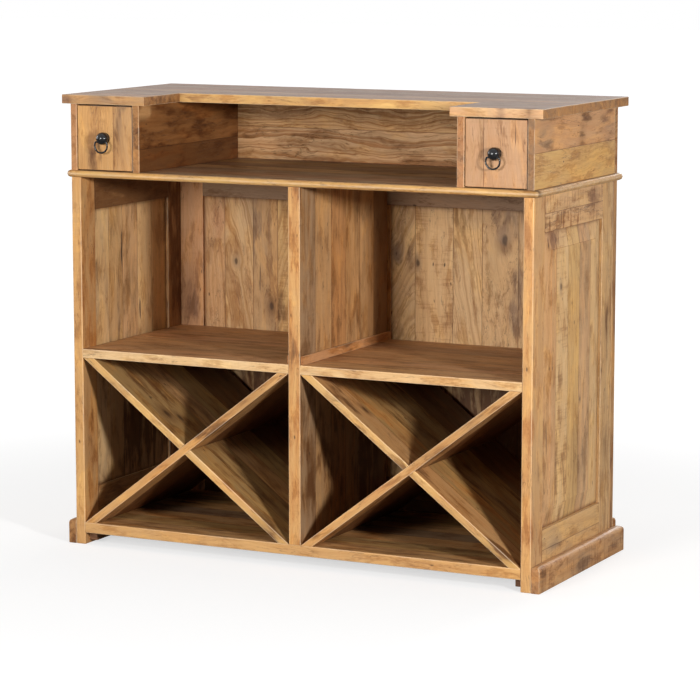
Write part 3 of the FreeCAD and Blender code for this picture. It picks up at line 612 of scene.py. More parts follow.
# how a cell of four corners is cut in two triangles: by its first diagonal or its second
SPLITS = (([0, 1, 2], [0, 2, 3]), ([0, 1, 3], [1, 2, 3]))


class Timber:
    """Gathers the staves of one piece and what its material reads at every point."""

    LAYERS = {"grain": "FLOAT_VECTOR", "traits": "FLOAT_VECTOR", "knot": "FLOAT_VECTOR",
              "fibre": "FLOAT_VECTOR", "light": "FLOAT_COLOR", "dark": "FLOAT_COLOR",
              "deep": "FLOAT_COLOR", "edge": "FLOAT", "cross": "FLOAT",
              "crack": "FLOAT_VECTOR"}

    def __init__(self, name):
        self.name = name
        self.points = []
        self.faces = []
        self.layers = {key: [] for key in self.LAYERS}
        self.count = 0

    def add_stave(self, stave, lines, place, paint, relief=None, corner=0.0):
        """Adds a closed shell: two gridded faces joined by a wall of three bands."""
        u, v = np.meshgrid(*lines, indexing="ij")
        gaps = {"u0": u, "u1": stave.size[0] - u, "v0": v, "v1": stave.size[1] - v}
        (low_fall, high_fall), (shift_u, shift_v) = rounding(stave, gaps, corner)
        open_gap = np.full_like(u, 1.0)
        seam_gap = np.full_like(u, 1.0)
        for side, gap in gaps.items():
            nearest = open_gap if max(stave.radii[side]) > OPEN_EDGE else seam_gap
            np.minimum(nearest, gap, out=nearest)
        if relief and relief.face:
            high_fall = high_fall + relief.fall(u, v)
        elif relief:
            low_fall = low_fall + relief.fall(u, v)
        dents, sway = self.unevenness(stave.rng, u, v, open_gap)
        high = stave.size[2] - high_fall - dents + sway
        low = low_fall + dents - sway

        grid = np.arange(u.size).reshape(u.shape)
        rim = np.concatenate((grid[:, 0], grid[-1, 1:], grid[-2::-1, -1], grid[0, -2:0:-1]))
        bottom = low.ravel()[rim]
        top = high.ravel()[rim]
        band = np.minimum(SUPPORT, (top - bottom) * 0.3)

        def spread(sheet):
            flat = sheet.ravel()
            return np.concatenate((flat, flat, flat[rim], flat[rim]))

        us = spread(u + shift_u + inward(gaps["u0"], gaps["u1"]) * dents)
        vs = spread(v + shift_v + inward(gaps["v0"], gaps["v1"]) * dents)
        ws = np.concatenate((low.ravel(), high.ravel(), bottom + band, top - band))
        faces = self.shell(u, v, grid, rim, relief)
        if place.flipped:
            faces = [face[::-1] for face in faces]
        self.faces += [[i + self.count for i in face] for face in faces]
        self.points.append(place(us, vs, ws))
        total = len(us)
        self.count += total

        # the edge layer: pale near open edges for wear and painted highlight, dark along seams for
        # glue and painted shade
        worn = np.clip(1 - open_gap / WEAR_AND_HIGHLIGHT_REACH, 0, 1)
        glued = np.clip(1 - seam_gap / GLUE_AND_SHADE_REACH, 0, 1)
        edge = np.where(worn > glued, worn, -glued).ravel()
        rest_u = spread(u)
        rest_v = spread(v)
        light, dark, deep, heart = paint(rest_u, rest_v, ws)
        whole = np.ones(total)
        crack = np.zeros((total, 3))
        if stave.crack:
            crack_u, crack_v, half, wide = stave.crack
            crack = np.stack(((rest_u - crack_u) / half, (rest_v - crack_v) / wide, whole), -1)
        knot_u, knot_v, knot_size = stave.knot
        layers = {
            "grain": stave.grain(rest_u, rest_v, ws),
            "traits": np.stack((whole * stave.ring, whole * stave.streak, heart), -1),
            "knot": np.stack((rest_u - knot_u, rest_v - knot_v, whole * knot_size), -1),
            "fibre": np.tile(place.fibre, (total, 1)), "light": light, "dark": dark,
            "deep": deep, "edge": np.concatenate((edge, edge, np.zeros(2 * len(rim)))),
            "cross": whole * stave.cross, "crack": crack,
        }
        for key, values in layers.items():
            self.layers[key].append(values)

    def unevenness(self, rng, u, v, open_gap):
        """Dents along the open edges, and the slight waves of a planed face."""
        shape = bpy.context.scene.bar_shape
        dents = np.clip(ripple(rng, u + 1.7 * v, DENT_WAVES) - DENT_FLOOR, 0, 1)
        dents = dents * np.clip(1 - open_gap / DENT_REACH, 0, 1) * shape.wear
        sway = ripple(rng, u + 0.4 * v, SWAY_ALONG) + 0.6 * ripple(rng, v - 0.2 * u, SWAY_ACROSS)
        return dents, np.minimum(sway, 1.0) * shape.sway * 0.5 - shape.sway * 0.5

    def shell(self, u, v, grid, rim, relief):
        """The faces: both grids, a bevelled one with its mitres, and the wall round them."""
        cells = np.stack((grid[:-1, :-1], grid[1:, :-1], grid[1:, 1:], grid[:-1, 1:]), -1)
        faces = []
        for face, sheet in ((0, cells[..., ::-1]), (1, cells + grid.size)):
            if relief is None or relief.face != face:
                faces += sheet.reshape(-1, 4).tolist()
                continue
            kind = relief.mitre((u[:-1, :-1] + u[1:, 1:]) / 2, (v[:-1, :-1] + v[1:, 1:]) / 2)
            faces += sheet[kind == 0].tolist()
            for sort in (1, 2):
                for pick in SPLITS[(sort + face) % 2]:
                    faces += sheet[kind == sort][:, pick].tolist()
        low_band = 2 * grid.size + np.arange(len(rim))
        levels = (rim, low_band, low_band + len(rim), rim + grid.size)
        for below, above in zip(levels, levels[1:]):
            wall = np.stack((below, np.roll(below, -1), np.roll(above, -1), above), -1)
            faces += wall.tolist()
        return faces

    def build(self, finish):
        """Makes the mesh object."""
        mesh = bpy.data.meshes.new(self.name)
        mesh.from_pydata(np.concatenate(self.points).tolist(), [], self.faces)
        mesh.validate()
        for key, kind in self.LAYERS.items():
            layer = mesh.attributes.new(key, kind, "POINT")
            data = np.concatenate(self.layers[key]).astype(np.float32)
            field = {"FLOAT": "value", "FLOAT_COLOR": "color"}.get(kind, "vector")
            layer.data.foreach_set(field, data.ravel())
        mesh.shade_smooth()
        mesh.set_sharp_from_angle(angle=math.radians(50))
        mesh.materials.append(material(finish))
        mesh.update()
        return new_object(self.name, mesh)


class Straight:
    """Places a board along the axes of the frame."""

    def __init__(self, low, axes):
        self.low = np.array(low)
        self.order = [AXES.index(axis) for axis in axes]
        swaps = sum(self.order[i] > self.order[j] for i in range(3) for j in range(i + 1, 3))
        self.flipped = swaps % 2 == 1
        self.fibre = np.eye(3)[self.order[0]]

    def __call__(self, u, v, w):
        points = np.empty((len(u), 3))
        for axis, local in zip(self.order, (u, v, w)):
            points[:, axis] = local + self.low[axis]
        return points


class Sloped:
    """Places a board between two cut ends, each a line from its lower to its upper face."""

    def __init__(self, start, end, front, size):
        self.ends = [np.array(start), np.array(end)]
        self.front = front
        self.span, _, self.thick = size
        along = self.ends[1][0] - self.ends[0][0]
        through = self.ends[0][1] - self.ends[0][0]
        self.flipped = (along[0] * through[1] - along[1] * through[0]) < 0
        direction = np.array((along[0], 0.0, along[1]))
        self.fibre = direction / np.linalg.norm(direction)

    def __call__(self, u, v, w):
        s = (u / self.span)[:, None]
        t = (w / self.thick)[:, None]
        starts = self.ends[0][0] * (1 - t) + self.ends[0][1] * t
        ends = self.ends[1][0] * (1 - t) + self.ends[1][1] * t
        flat = starts * (1 - s) + ends * s
        return np.stack((flat[:, 0], v + self.front, flat[:, 1]), -1)


def painter(stave, board, offset, spec):
    """What colours a stave's points: its own tones, its board's edge tones, which are painted
    highlight and painted shade, and smudges, which are stains and also painted shade on inner
    faces.
    """
    table = colour_table()

    def paint(u, v, w):
        total = len(u)
        layers = [np.tile(colour, (total, 1)) for colour in stave.tones]
        heart = np.full(total, stave.heart)
        at_u = u + offset[0]
        at_v = v + offset[1]
        gaps = {"u0": at_u, "u1": board[0] - at_u, "v0": at_v, "v1": board[1] - at_v}
        # edge tones are painted light and shade: paler bands stand in for the light caught by front
        # edges, ends and nosings, darker ones for the shade in the recess round a raised panel and
        # the gap round a drawer front
        reach = spec.get("reach", 1.6) * MM
        for side, names in spec.get("edges", {}).items():
            nearness = np.clip(EDGE_FADE - EDGE_FADE * gaps[side] / reach, 0, 1)[:, None]
            names = names.split("/")
            for layer, name in zip((0, 1), (names[0], names[-1])):
                layers[layer] = layers[layer] * (1 - nearness) + table[name] * nearness
            heart = heart - nearness[:, 0] * 0.15
        # smudges are stains in the wood, and the dark ones on inner faces of the bays and under the
        # counter board are painted shade
        for mid_u, mid_v, wide_u, wide_v, name, strength, *face in spec.get("smudges", ()):
            across = (at_u - mid_u * board[0]) / (wide_u * MM)
            up = (at_v - mid_v * board[1]) / (wide_v * MM)
            weight = np.clip(SMUDGE_RIM - np.hypot(across, up), 0, 1)
            weight = weight * weight * (3 - 2 * weight)
            if face:
                weight = np.where((w > board[2] / 2) == face[0], weight, 0)
            heart = heart + weight * strength * 0.8
            patch_weight = weight * min(strength, 1.5) * 0.4
            for index, blend in enumerate((patch_weight, patch_weight, np.clip(weight * 2.5, 0, 1))):
                blend = blend[:, None]
                layers[index] = layers[index] * (1 - blend) + table[name] * blend
        return (*layers, heart)
    return paint


def cut_staves(size, spec, seed):
    """Yields each glued stave of a board: its start, itself, whether it is first and last."""
    shape = bpy.context.scene.bar_shape
    rng = random.Random(f"{shape.seed} {seed}")
    ends = {**dict.fromkeys(EDGES, spec.get("arris", shape.arris)), **spec.get("radii", {})}
    ends = {side: r if isinstance(r, tuple) else (r, r) for side, r in ends.items()}
    for side in spec.get("butts", "u0 u1").split():
        ends[side] = (shape.butt, shape.butt)
    rows = matched(parse_staves(spec["staves"], rng), *spec.get("wash", ("tan", 0.0)))
    whole = sum(row[0] for row in rows)
    start = 0.0
    for index, (width, tones, traits) in enumerate(rows):
        first = index == 0
        last = index == len(rows) - 1
        width = size[1] * width / whole
        radii = dict(ends)
        if not first:
            radii["v0"] = (shape.seam, shape.seam)
        if not last:
            radii["v1"] = (shape.seam, shape.seam)
        stave = Stave((size[0], width, size[2]), radii, rng, tones, traits)
        for key, marks in (("knot", "knots"), ("crack", "cracks")):
            for at_u, at_v, *extent in spec.get(marks, ()):
                if start <= at_v * size[1] < start + width:
                    setattr(stave, key, (at_u * size[0], at_v * size[1] - start,
                                         *(reach * MM for reach in extent)))
        yield start, stave, first, last
        start += width


def cut_board(timber, low, high, axes, spec, seed, panel=None):
    """Adds the staves of one straight board."""
    size = [high[AXES.index(axis)] - low[AXES.index(axis)] for axis in axes]
    corner = spec.get("corner", 0.0)
    turns = (corner, corner * CORNER_LINE) if corner else ()
    for start, stave, first, last in cut_staves(size, spec, seed):
        width = stave.size[1]
        extra_u = [*turns, *(size[0] - turn for turn in turns)]
        extra_v = [*(turns if first else ()), *(width - turn for turn in turns if last)]
        if panel:
            panel.move_to(start, size)
            extra_u = panel.lines(size[0])
            extra_v = [b - start for b in panel.lines(size[1]) if 0 < b - start < width]
        corner_low = list(low)
        corner_low[AXES.index(axes[1])] += start
        timber.add_stave(stave, stave.lines(extra_u, extra_v), Straight(corner_low, axes),
                         painter(stave, size, (0.0, start), spec), panel, corner)


class Raised:
    """The bevelled margin of a raised panel: tongue, slope and a small shoulder."""

    TONGUE = 8 * MM
    BEVEL = 42 * MM
    DEPTH = 8 * MM
    SHOULDER = 1.5 * MM
    LIP = 0.5 * MM
    CELLS = 6

    def __init__(self, face):
        self.face = face
        slope = [self.TONGUE + self.BEVEL * i / self.CELLS for i in range(self.CELLS + 1)]
        self.breaks = [*slope, slope[-1] + self.LIP, slope[-1] + self.LIP + SUPPORT]

    def move_to(self, start, size):
        """Takes up the stave that starts there across a panel of this size."""
        self.start = start
        self.size = size

    def lines(self, span):
        return [*self.breaks, *(span - b for b in self.breaks)]

    def fall(self, u, v):
        v = v + self.start
        gap = np.minimum(np.minimum(u, self.size[0] - u), np.minimum(v, self.size[1] - v))
        field = self.TONGUE + self.BEVEL
        return np.interp(gap, (self.TONGUE, field, field + self.LIP),
                         (self.DEPTH, self.SHOULDER, 0.0))

    def mitre(self, u, v):
        """Which diagonal splits each cell: 0 for none."""
        v = v + self.start
        reach = self.breaks[-1]
        near_u = np.minimum(u, self.size[0] - u) < reach
        near_v = np.minimum(v, self.size[1] - v) < reach
        same = (u < self.size[0] / 2) == (v < self.size[1] / 2)
        return np.where(near_u & near_v, np.where(same, 1, 2), 0)


DEFAULT_STAVES = ("tan/umber:1.1", "honey/umber:1", "rose/umber:0.9", "olive/umber:1",
                  "cream/tan:0.8", "smoke/umber:0.9")


def spare_staves(seed, count):
    """Staves for a board that nobody picked tones for."""
    rng = random.Random(f"spare {seed}")
    return " ".join(rng.choice(DEFAULT_STAVES) for _ in range(count))


def finish_board(piece, body, slot, *nodes):
    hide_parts(*nodes)
    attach(piece, body)
    return piece


def make_board(node, axes, body="case", slot="board_wood", finish="board", crop=None, panel=None,
               spec=None):
    """Makes the boards of one node in its own box."""
    spec = {**(spec or {}), **BOARDS.get(node, {})}
    low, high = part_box(node)
    for axis, (first, last) in (crop or {}).items():
        low[AXES.index(axis)] = first
        high[AXES.index(axis)] = last
    if "staves" not in spec:
        across = high[AXES.index(axes[1])] - low[AXES.index(axes[1])]
        spec["staves"] = spare_staves(node, max(1, round(across / USUAL_STAVE)))
    timber = Timber(f"{node}_timber")
    cut_board(timber, low, high, axes, spec, node, panel=panel)
    return finish_board(timber.build(finish), body, slot, node)


# the staves darken from front to back to walnut and soot: painted shade deep in the lower bays
RISING_STAVES = ("tan/ginger/umber:74 umber/walnut/umber:70@s umber/walnut/walnut:76 "
                 "walnut/soot/walnut:74 walnut/soot/walnut:80 walnut/soot/walnut:76")
# the pale tones along the rack boards' front edges are painted highlight
RACK_FRONTS = {
    "falling": {"edges": {"v0": "straw/cream"},
                "smudges": [(0.3, 0.0, 120, 14, "ginger", 0.7), (0.08, 0.0, 60, 14, "umber", 0.9)]},
    "rising": {"edges": {"v0": "honey/ginger"},
               "smudges": [(0.62, 0.0, 70, 12, "umber", 0.9), (0.82, 0.0, 90, 12, "umber", 0.8),
                           (0.35, 0.0, 70, 12, "ginger", 0.9)]},
}
# painted shade: dark walnut and umber edge tones 17 mm into a raised panel's bevel, for the shade
# where the bevel meets the frame
PANEL_MARGIN_PAINTED_SHADE = {"arris": 0.3 * MM, "reach": 17, "edges": dict.fromkeys(EDGES, "walnut/umber")}
# the umber edge tones round a drawer front are painted shade along the gap round it
DRAWER_FRONT = {"butts": "", "arris": 1.3 * MM, "edges": dict.fromkeys(EDGES, "umber")}
# painted shade: walnut darkening the lower inner face of each back panel, in the lower bays
LOWER_BAY_PAINTED_SHADE = ((0.2, 0.5, 190, 420, "walnut", 1.6, 0), (0.42, 0.5, 50, 420, "walnut", 1.8, 0))

# What each board looks like. Staves run from the low side of the board to the high side:
# light/dark/deep tones : width @ marks (r rings, s streaks, h heartwood, x cross bars, / and |
# grain that runs out to one side or the other). Smudges, knots and cracks are placed by shares
# of the board's length and width, and a smudge may name the one face that it shows on. A wash
# draws all tones to one.
# Edge tones in this table are painted highlight where they are paler than the stave and painted
# shade where they are darker; the dark smudges that name one inner face are painted shade in the
# bays.
BOARDS = {
    # side frames
    "right_front_stile": {
        "staves": "tan/rose/ginger@s", "wash": ("cream", 0.2),
        "edges": {"v0": "honey/ginger"},
        "smudges": [(0.42, 0.1, 40, 20, "ginger", 0.9), (0.15, 0.2, 60, 20, "ginger", 0.8),
                    (0.3, 0.7, 30, 20, "umber", 0.6)],
    },
    "left_front_stile": {"staves": "tan/ginger/umber@s", "edges": {"v0": "honey/tan"}},
    "right_back_stile": {
        "staves": "tan/umber/umber@sr", "wash": ("cream", 0.6),
        "smudges": [(0.3, 0.5, 50, 30, "umber", 0.9), (0.62, 0.5, 60, 30, "umber", 0.7)],
    },
    # left_back_stile: its umber smudge on the inner face is painted shade at the rear of the bays
    "left_back_stile": {"staves": "tan/umber/plum@s",
                        "smudges": [(0.5, 0.5, 900, 200, "umber", 0.7, 1)]},
    "right_top_rail": {
        "staves": "rose/tan/plum:1@xxx rose/umber/plum:1@xxx", "wash": ("cream", 0.5),
        "smudges": [(0.85, 0.6, 60, 40, "plum", 1.2)],
    },
    "right_bottom_rail": {
        "staves": "tan/smoke/smoke:1.2@x honey/umber/smoke:1", "wash": ("cream", 0.45),
        "smudges": [(0.2, 0.6, 60, 26, "smoke", 1.4), (0.45, 0.35, 40, 20, "smoke", 1.1)],
    },
    # left_top_rail: its umber smudge on the inner face is painted shade under the counter board
    "left_top_rail": {"staves": "tan/umber/plum@s",
                      "smudges": [(0.5, 0.5, 600, 300, "umber", 2.0, 1)]},
    "left_bottom_rail": {"staves": "olive/umber:1 tan/umber:1"},
    "right_side_panel": {
        "staves": "rose/tan/plum:76@s cream/tan/smoke:68@x straw/straw/umber:66@r/ "
                  "rose/smoke/umber:64@s cream/tan/plum:80", "wash": ("cream", 0.25),
        "knots": [(0.798, 0.29, 5), (0.4, 0.62, 3)], "cracks": [(0.3, 0.1, 40, 1.2)],
        "smudges": [(0.97, 0.2, 50, 60, "plum", 0.8), (0.2, 0.55, 150, 34, "umber", 0.9),
                    (0.6, 0.78, 120, 30, "smoke", 0.7)],
    },
    "left_side_panel": {
        "staves": "cream/smoke/umber:78@s tan/olive/smoke:62@s rose/umber/umber:70@s "
                  "cream/tan/smoke:66 honey/umber/plum:78", "wash": ("cream", 0.4),
        # the walnut smudge low at the rear of the inner face is painted shade in the lower bay
        "smudges": [(0.62, 0.35, 90, 18, "smoke", 1.0), (0.22, 0.68, 240, 180, "walnut", 1.4, 1)],
        "cracks": [(0.83, 0.393, 52, 3.2), (0.604, 0.62, 30, 3.0)],
    },
    # back frame
    "back_left_stile": {
        "staves": "rose/ginger/plum@s", "wash": ("rose", 0.45),
        # the walnut smudge low on the inner face is painted shade in the lower bay
        "smudges": [(0.6, 0.5, 120, 60, "plum", 0.9), (0.25, 0.5, 240, 80, "walnut", 1.2, 0)],
    },
    "back_right_stile": {"staves": "tan/umber/plum@s"},
    # back_top_rail: its smoke smudge on the inner face is painted shade under the counter board
    "back_top_rail": {"staves": "tan/umber/plum@s",
                      "smudges": [(0.5, 0.5, 1500, 300, "smoke", 1.4, 0)]},
    # back_bottom_rail: its walnut smudge on the inner face is painted shade in the lower bays
    "back_bottom_rail": {"staves": "tan/umber/umber:1 ginger/umber/umber:1",
                         "smudges": [(0.5, 0.5, 1500, 300, "walnut", 2.0, 0)]},
    "back_left_panel": {
        "staves": "rose/tan/umber:70@r/ cream/rose/smoke:84@rr/ tan/smoke/plum:72@s "
                  "straw/tan/olive:80@rx| tan/umber/smoke:78 honey/umber/plum:74@s "
                  "tan/smoke/plum:70", "wash": ("cream", 0.3),
        "knots": [(0.756, 0.196, 5), (0.6, 0.394, 7)],
        "smudges": [(0.59, 0.4, 60, 34, "umber", 0.7), (0.95, 0.3, 120, 40, "smoke", 0.9),
                    (0.9, 0.1, 60, 40, "rose", 0.9), *LOWER_BAY_PAINTED_SHADE],
        "cracks": [(0.7, 0.33, 40, 1.2)],
    },
    "back_right_panel": {
        "staves": "cream/straw/smoke:67@r|| cream/tan/smoke:92@sx cream/cream/smoke:70@r/ "
                  "cream/rose/olive:86@s| tan/smoke/plum:70@s rose/umber/umber:76",
        "wash": ("cream", 0.72),
        "knots": [(0.881, 0.608, 9), (0.816, 0.045, 6), (0.787, 0.16, 5)],
        "smudges": [(0.81, 0.06, 50, 34, "smoke", 0.7), (0.78, 0.13, 60, 16, "umber", 0.7),
                    (0.9, 0.38, 100, 34, "olive", 0.8), (0.67, 0.68, 110, 40, "smoke", 0.9),
                    (0.87, 0.61, 40, 40, "umber", 0.6), (0.78, 0.55, 110, 20, "olive", 0.7),
                    (0.95, 0.6, 60, 90, "smoke", 0.7), *LOWER_BAY_PAINTED_SHADE],
    },
    # bottle racks
    # the falling boards' staves darken towards the rear as well: painted shade deep in the lower
    # bays
    "left_rack_falling_board": {
        "staves": "olive/umber/umber:70 olive/umber/umber:74@s tan/umber/umber:70@s "
                  "olive/umber/walnut:78 umber/walnut/walnut:80@s umber/walnut/walnut:78",
        "knots": [(0.68, 0.12, 9), (0.645, 0.19, 7)],
    },
    "right_rack_falling_board": {
        "staves": "tan/ginger/umber:72 olive/ginger/umber:70@s olive/umber/umber:74@s "
                  "olive/umber/walnut:76 umber/walnut/walnut:80@s umber/walnut/walnut:78",
        "knots": [(0.8, 0.14, 6)],
    },
    "left_rack_rising_board": {"staves": RISING_STAVES},
    "right_rack_rising_board": {"staves": RISING_STAVES},
    # boards of the case
    "counter_board": {
        "staves": "smoke/umber/umber:60@s plum/umber/umber:72@s smoke/umber/plum:66@s "
                  "tan/umber/umber:70@s plum/umber/smoke:74@s olive/umber/plum:66@s "
                  "smoke/umber/umber:76@s",
        # the pale edge tones along the front and the right end, reaching over the bullnose, are
        # painted highlight
        "butts": "", "corner": 12 * MM, "radii": dict.fromkeys(EDGES, 7.8 * MM), "reach": 9,
        "edges": {"v0": "straw/tan", "u1": "cream/cream", "u0": "tan/umber"},
        "knots": [(0.992, 0.02, 8)],
    },
    "bottom_board": {
        "staves": "tan/umber/umber:70@s olive/umber/umber:66 tan/ginger/umber:72@s "
                  "smoke/umber/plum:70@s tan/umber/umber:68 olive/umber/plum:64@s "
                  "tan/umber/smoke:66",
        "edges": {"v0": "honey/tan"},
    },
    "left_shelf": {
        "staves": "rose/umber/umber:70@s tan/umber/umber:62@s tan/umber/plum:74 "
                  "rose/umber/umber:66@s tan/umber/umber:70@s tan/umber/plum:66",
        # the pale front-edge tone is painted highlight
        "wash": ("rose", 0.35), "edges": {"v0": "cream/cream"},
    },
    "right_shelf": {
        "staves": "tan/smoke/umber:72@s rose/umber/umber:70@s tan/umber/smoke:66@s "
                  "tan/umber/umber:74 smoke/umber/umber:68@s tan/umber/plum:64",
        # the pale front-edge tone is painted highlight
        "wash": ("rose", 0.3), "edges": {"v0": "cream/tan"},
    },
    "centre_divider": {
        "staves": "smoke/umber/umber:76@s tan/smoke/smoke:80@s ginger/umber/umber:74@s "
                  "tan/umber/umber:72@s tan/umber/plum:74 umber/walnut/umber:74",
        "wash": ("cream", 0.12), "edges": {"v0": "honey/ginger"},
        # both smudges are painted shade in the lower bays: walnut low at the rear of both faces,
        # umber low on the right face
        "smudges": [(0.2, 0.8, 220, 120, "walnut", 1.3), (0.26, 0.3, 200, 150, "umber", 0.9, 1)],
    },
    "right_plinth": {
        "staves": "tan/smoke/umber@sxx", "wash": ("rose", 0.25),
        "smudges": [(0.04, 0.5, 26, 40, "umber", 1.2), (0.5, 0.4, 60, 34, "smoke", 1.1),
                    (0.7, 0.6, 20, 14, "rose", 0.9)],
    },
    # gallery
    "right_outer_gallery_panel": {
        "staves": "straw/honey/honey:78 rose/tan/smoke:75",
        "edges": {"u0": "smoke/tan"}, "knots": [(0.347, 0.327, 2.2)],
        "smudges": [(0.12, 0.8, 70, 60, "smoke", 1.0), (0.58, 0.67, 30, 40, "umber", 0.8),
                    (0.65, 0.92, 50, 20, "umber", 0.7), (0.9, 0.75, 70, 60, "plum", 0.6),
                    (0.85, 0.25, 60, 30, "olive", 0.5)],
    },
    "left_outer_gallery_panel": {
        "staves": "tan/umber/umber:78 rose/tan/umber:75", "edges": {"u0": "rose/tan"},
    },
    "left_inner_gallery_panel": {
        "staves": "umber/walnut/walnut:53@sh ginger/walnut/walnut:100@sh",
        "wash": ("walnut", 0.6), "edges": {"u0": "tan/umber"},
        "smudges": [(0.06, 0.9, 40, 24, "tan", 1.3)],
    },
    "right_inner_gallery_panel": {
        "staves": "olive/umber/umber:78@s tan/umber/umber:75", "edges": {"u0": "rose/smoke"},
    },
    "gallery_back": {
        "staves": "rose/umber/umber:78@srrr tan/umber/plum:75@srrr", "butts": "v0 v1",
        "wash": ("cream", 0.4), "smudges": [(0.2, 0.1, 120, 40, "tan", 0.9)],
    },
    # top
    "top_main_board": {
        "staves": "plum/smoke/smoke:62@s smoke/rose/plum:70@s plum/umber/smoke:66@sr "
                  "smoke/plum/plum:72@s plum/smoke/umber:70@s",
        "butts": "", "wash": ("plum", 0.25),
        "edges": {"v0": "straw/tan", "u0": "tan/plum", "u1": "tan/smoke"},
    },
    "left_top_wing": {
        "staves": "rose/plum/plum:82@s smoke/plum/plum:82@s", "wash": ("plum", 0.2),
        "edges": {"v0": "tan/smoke", "u1": "tan/umber", "u0": "tan/plum"},
        "smudges": [(0.04, 0.02, 26, 30, "plum", 1.4), (0.45, 0.02, 50, 20, "smoke", 1.2)],
    },
    "right_top_wing": {
        "staves": "smoke/plum/plum:80@s plum/smoke/smoke:84@s", "wash": ("plum", 0.2),
        "edges": {"v0": "rose/cream", "u0": "rose/tan", "u1": "tan/smoke"},
        "knots": [(0.55, 0.02, 3)], "smudges": [(0.85, 0.02, 26, 20, "umber", 1.1)],
    },
    # drawers
    "left_drawer_front": {
        **DRAWER_FRONT, "staves": "honey/tan/tan:96 tan/umber/umber:50", "wash": ("tan", 0.15),
        "smudges": [(0.12, 0.25, 40, 90, "umber", 0.5), (0.6, 0.9, 110, 18, "smoke", 0.6)],
    },
    "right_drawer_front": {
        **DRAWER_FRONT, "staves": "rose/tan/umber:44@s rose/tan/ginger:102",
        "wash": ("smoke", 0.35), "cracks": [(0.507, 0.346, 58, 0.9), (0.775, 0.814, 27, 0.9)],
        "smudges": [(0.65, 0.5, 24, 26, "ginger", 0.8)],
    },
}


# ---------------------------------------------------------------- operators

SIDES = {"left": -1, "right": 1}
OPTIONS = {"REGISTER", "UNDO"}


class BAR_OT_side_frames(bpy.types.Operator):
    """Build the stiles, rails and raised panels of both sides"""
    bl_idname = "bar.side_frames"
    bl_label = "Side frames"
    bl_options = OPTIONS

    def execute(self, context):
        for side, sign in SIDES.items():
            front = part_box(f"{side}_front_stile")[1].y
            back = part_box(f"{side}_back_stile")[0].y
            for end in ("front", "back"):
                make_board(f"{side}_{end}_stile", "zyx", slot="frame_wood",
                           spec={"radii": {"v0": 2 * MM, "v1": 2 * MM}, "butts": "u1"})
            for rail in ("top_rail", "bottom_rail"):
                make_board(f"{side}_{rail}", "yzx", slot="frame_wood", crop={"y": (front, back)},
                           spec={"arris": 0.5 * MM})
            make_board(f"{side}_side_panel", "zyx", slot="panel_wood",
                       panel=Raised(1 if sign > 0 else 0), spec=PANEL_MARGIN_PAINTED_SHADE)
        return {"FINISHED"}


class BAR_OT_back_frame(bpy.types.Operator):
    """Build the stiles, rails and raised panels of the back"""
    bl_idname = "bar.back_frame"
    bl_label = "Back frame"
    bl_options = OPTIONS

    def execute(self, context):
        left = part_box("back_left_stile")[1].x
        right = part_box("back_right_stile")[0].x
        for side in SIDES:
            make_board(f"back_{side}_stile", "zxy", slot="frame_wood", spec={"butts": "u1"})
            make_board(f"back_{side}_panel", "zxy", slot="panel_wood", panel=Raised(1),
                       spec=PANEL_MARGIN_PAINTED_SHADE)
        rail_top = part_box("back_bottom_rail")[1].z
        rail_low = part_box("back_top_rail")[0].z
        make_board("back_centre_stile", "zxy", slot="frame_wood",
                   crop={"z": (rail_top, rail_low)}, spec={"arris": 0.5 * MM})
        for rail in ("back_top_rail", "back_bottom_rail"):
            make_board(rail, "xzy", slot="frame_wood", crop={"x": (left, right)},
                       spec={"arris": 0.5 * MM})
        return {"FINISHED"}


class BAR_OT_case_boards(bpy.types.Operator):
    """Build the counter board, shelves, divider and their strips"""
    bl_idname = "bar.case_boards"
    bl_label = "Case boards"
    bl_options = OPTIONS

    def execute(self, context):
        make_board("counter_board", "xyz")
        for node in ("bottom_board", "left_shelf", "right_shelf"):
            make_board(node, "xyz")
        make_board("centre_divider", "zyx")
        low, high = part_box("divider_strips")
        wall_low, wall_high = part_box("centre_divider")
        strips = Timber("divider_strips_timber")
        for side, (start, end) in {"left": (low.x, wall_low.x),
                                   "right": (wall_high.x, high.x)}.items():
            cut_board(strips, (start, low.y, low.z), (end, high.y, high.z), "yzx",
                      {"staves": "rose/ginger/umber@s", "arris": 0.7 * MM}, f"{side} strip")
        finish_board(strips.build("board"), "case", "board_wood", "divider_strips")
        refinish("stained", "bottom_bearers")
        return {"FINISHED"}


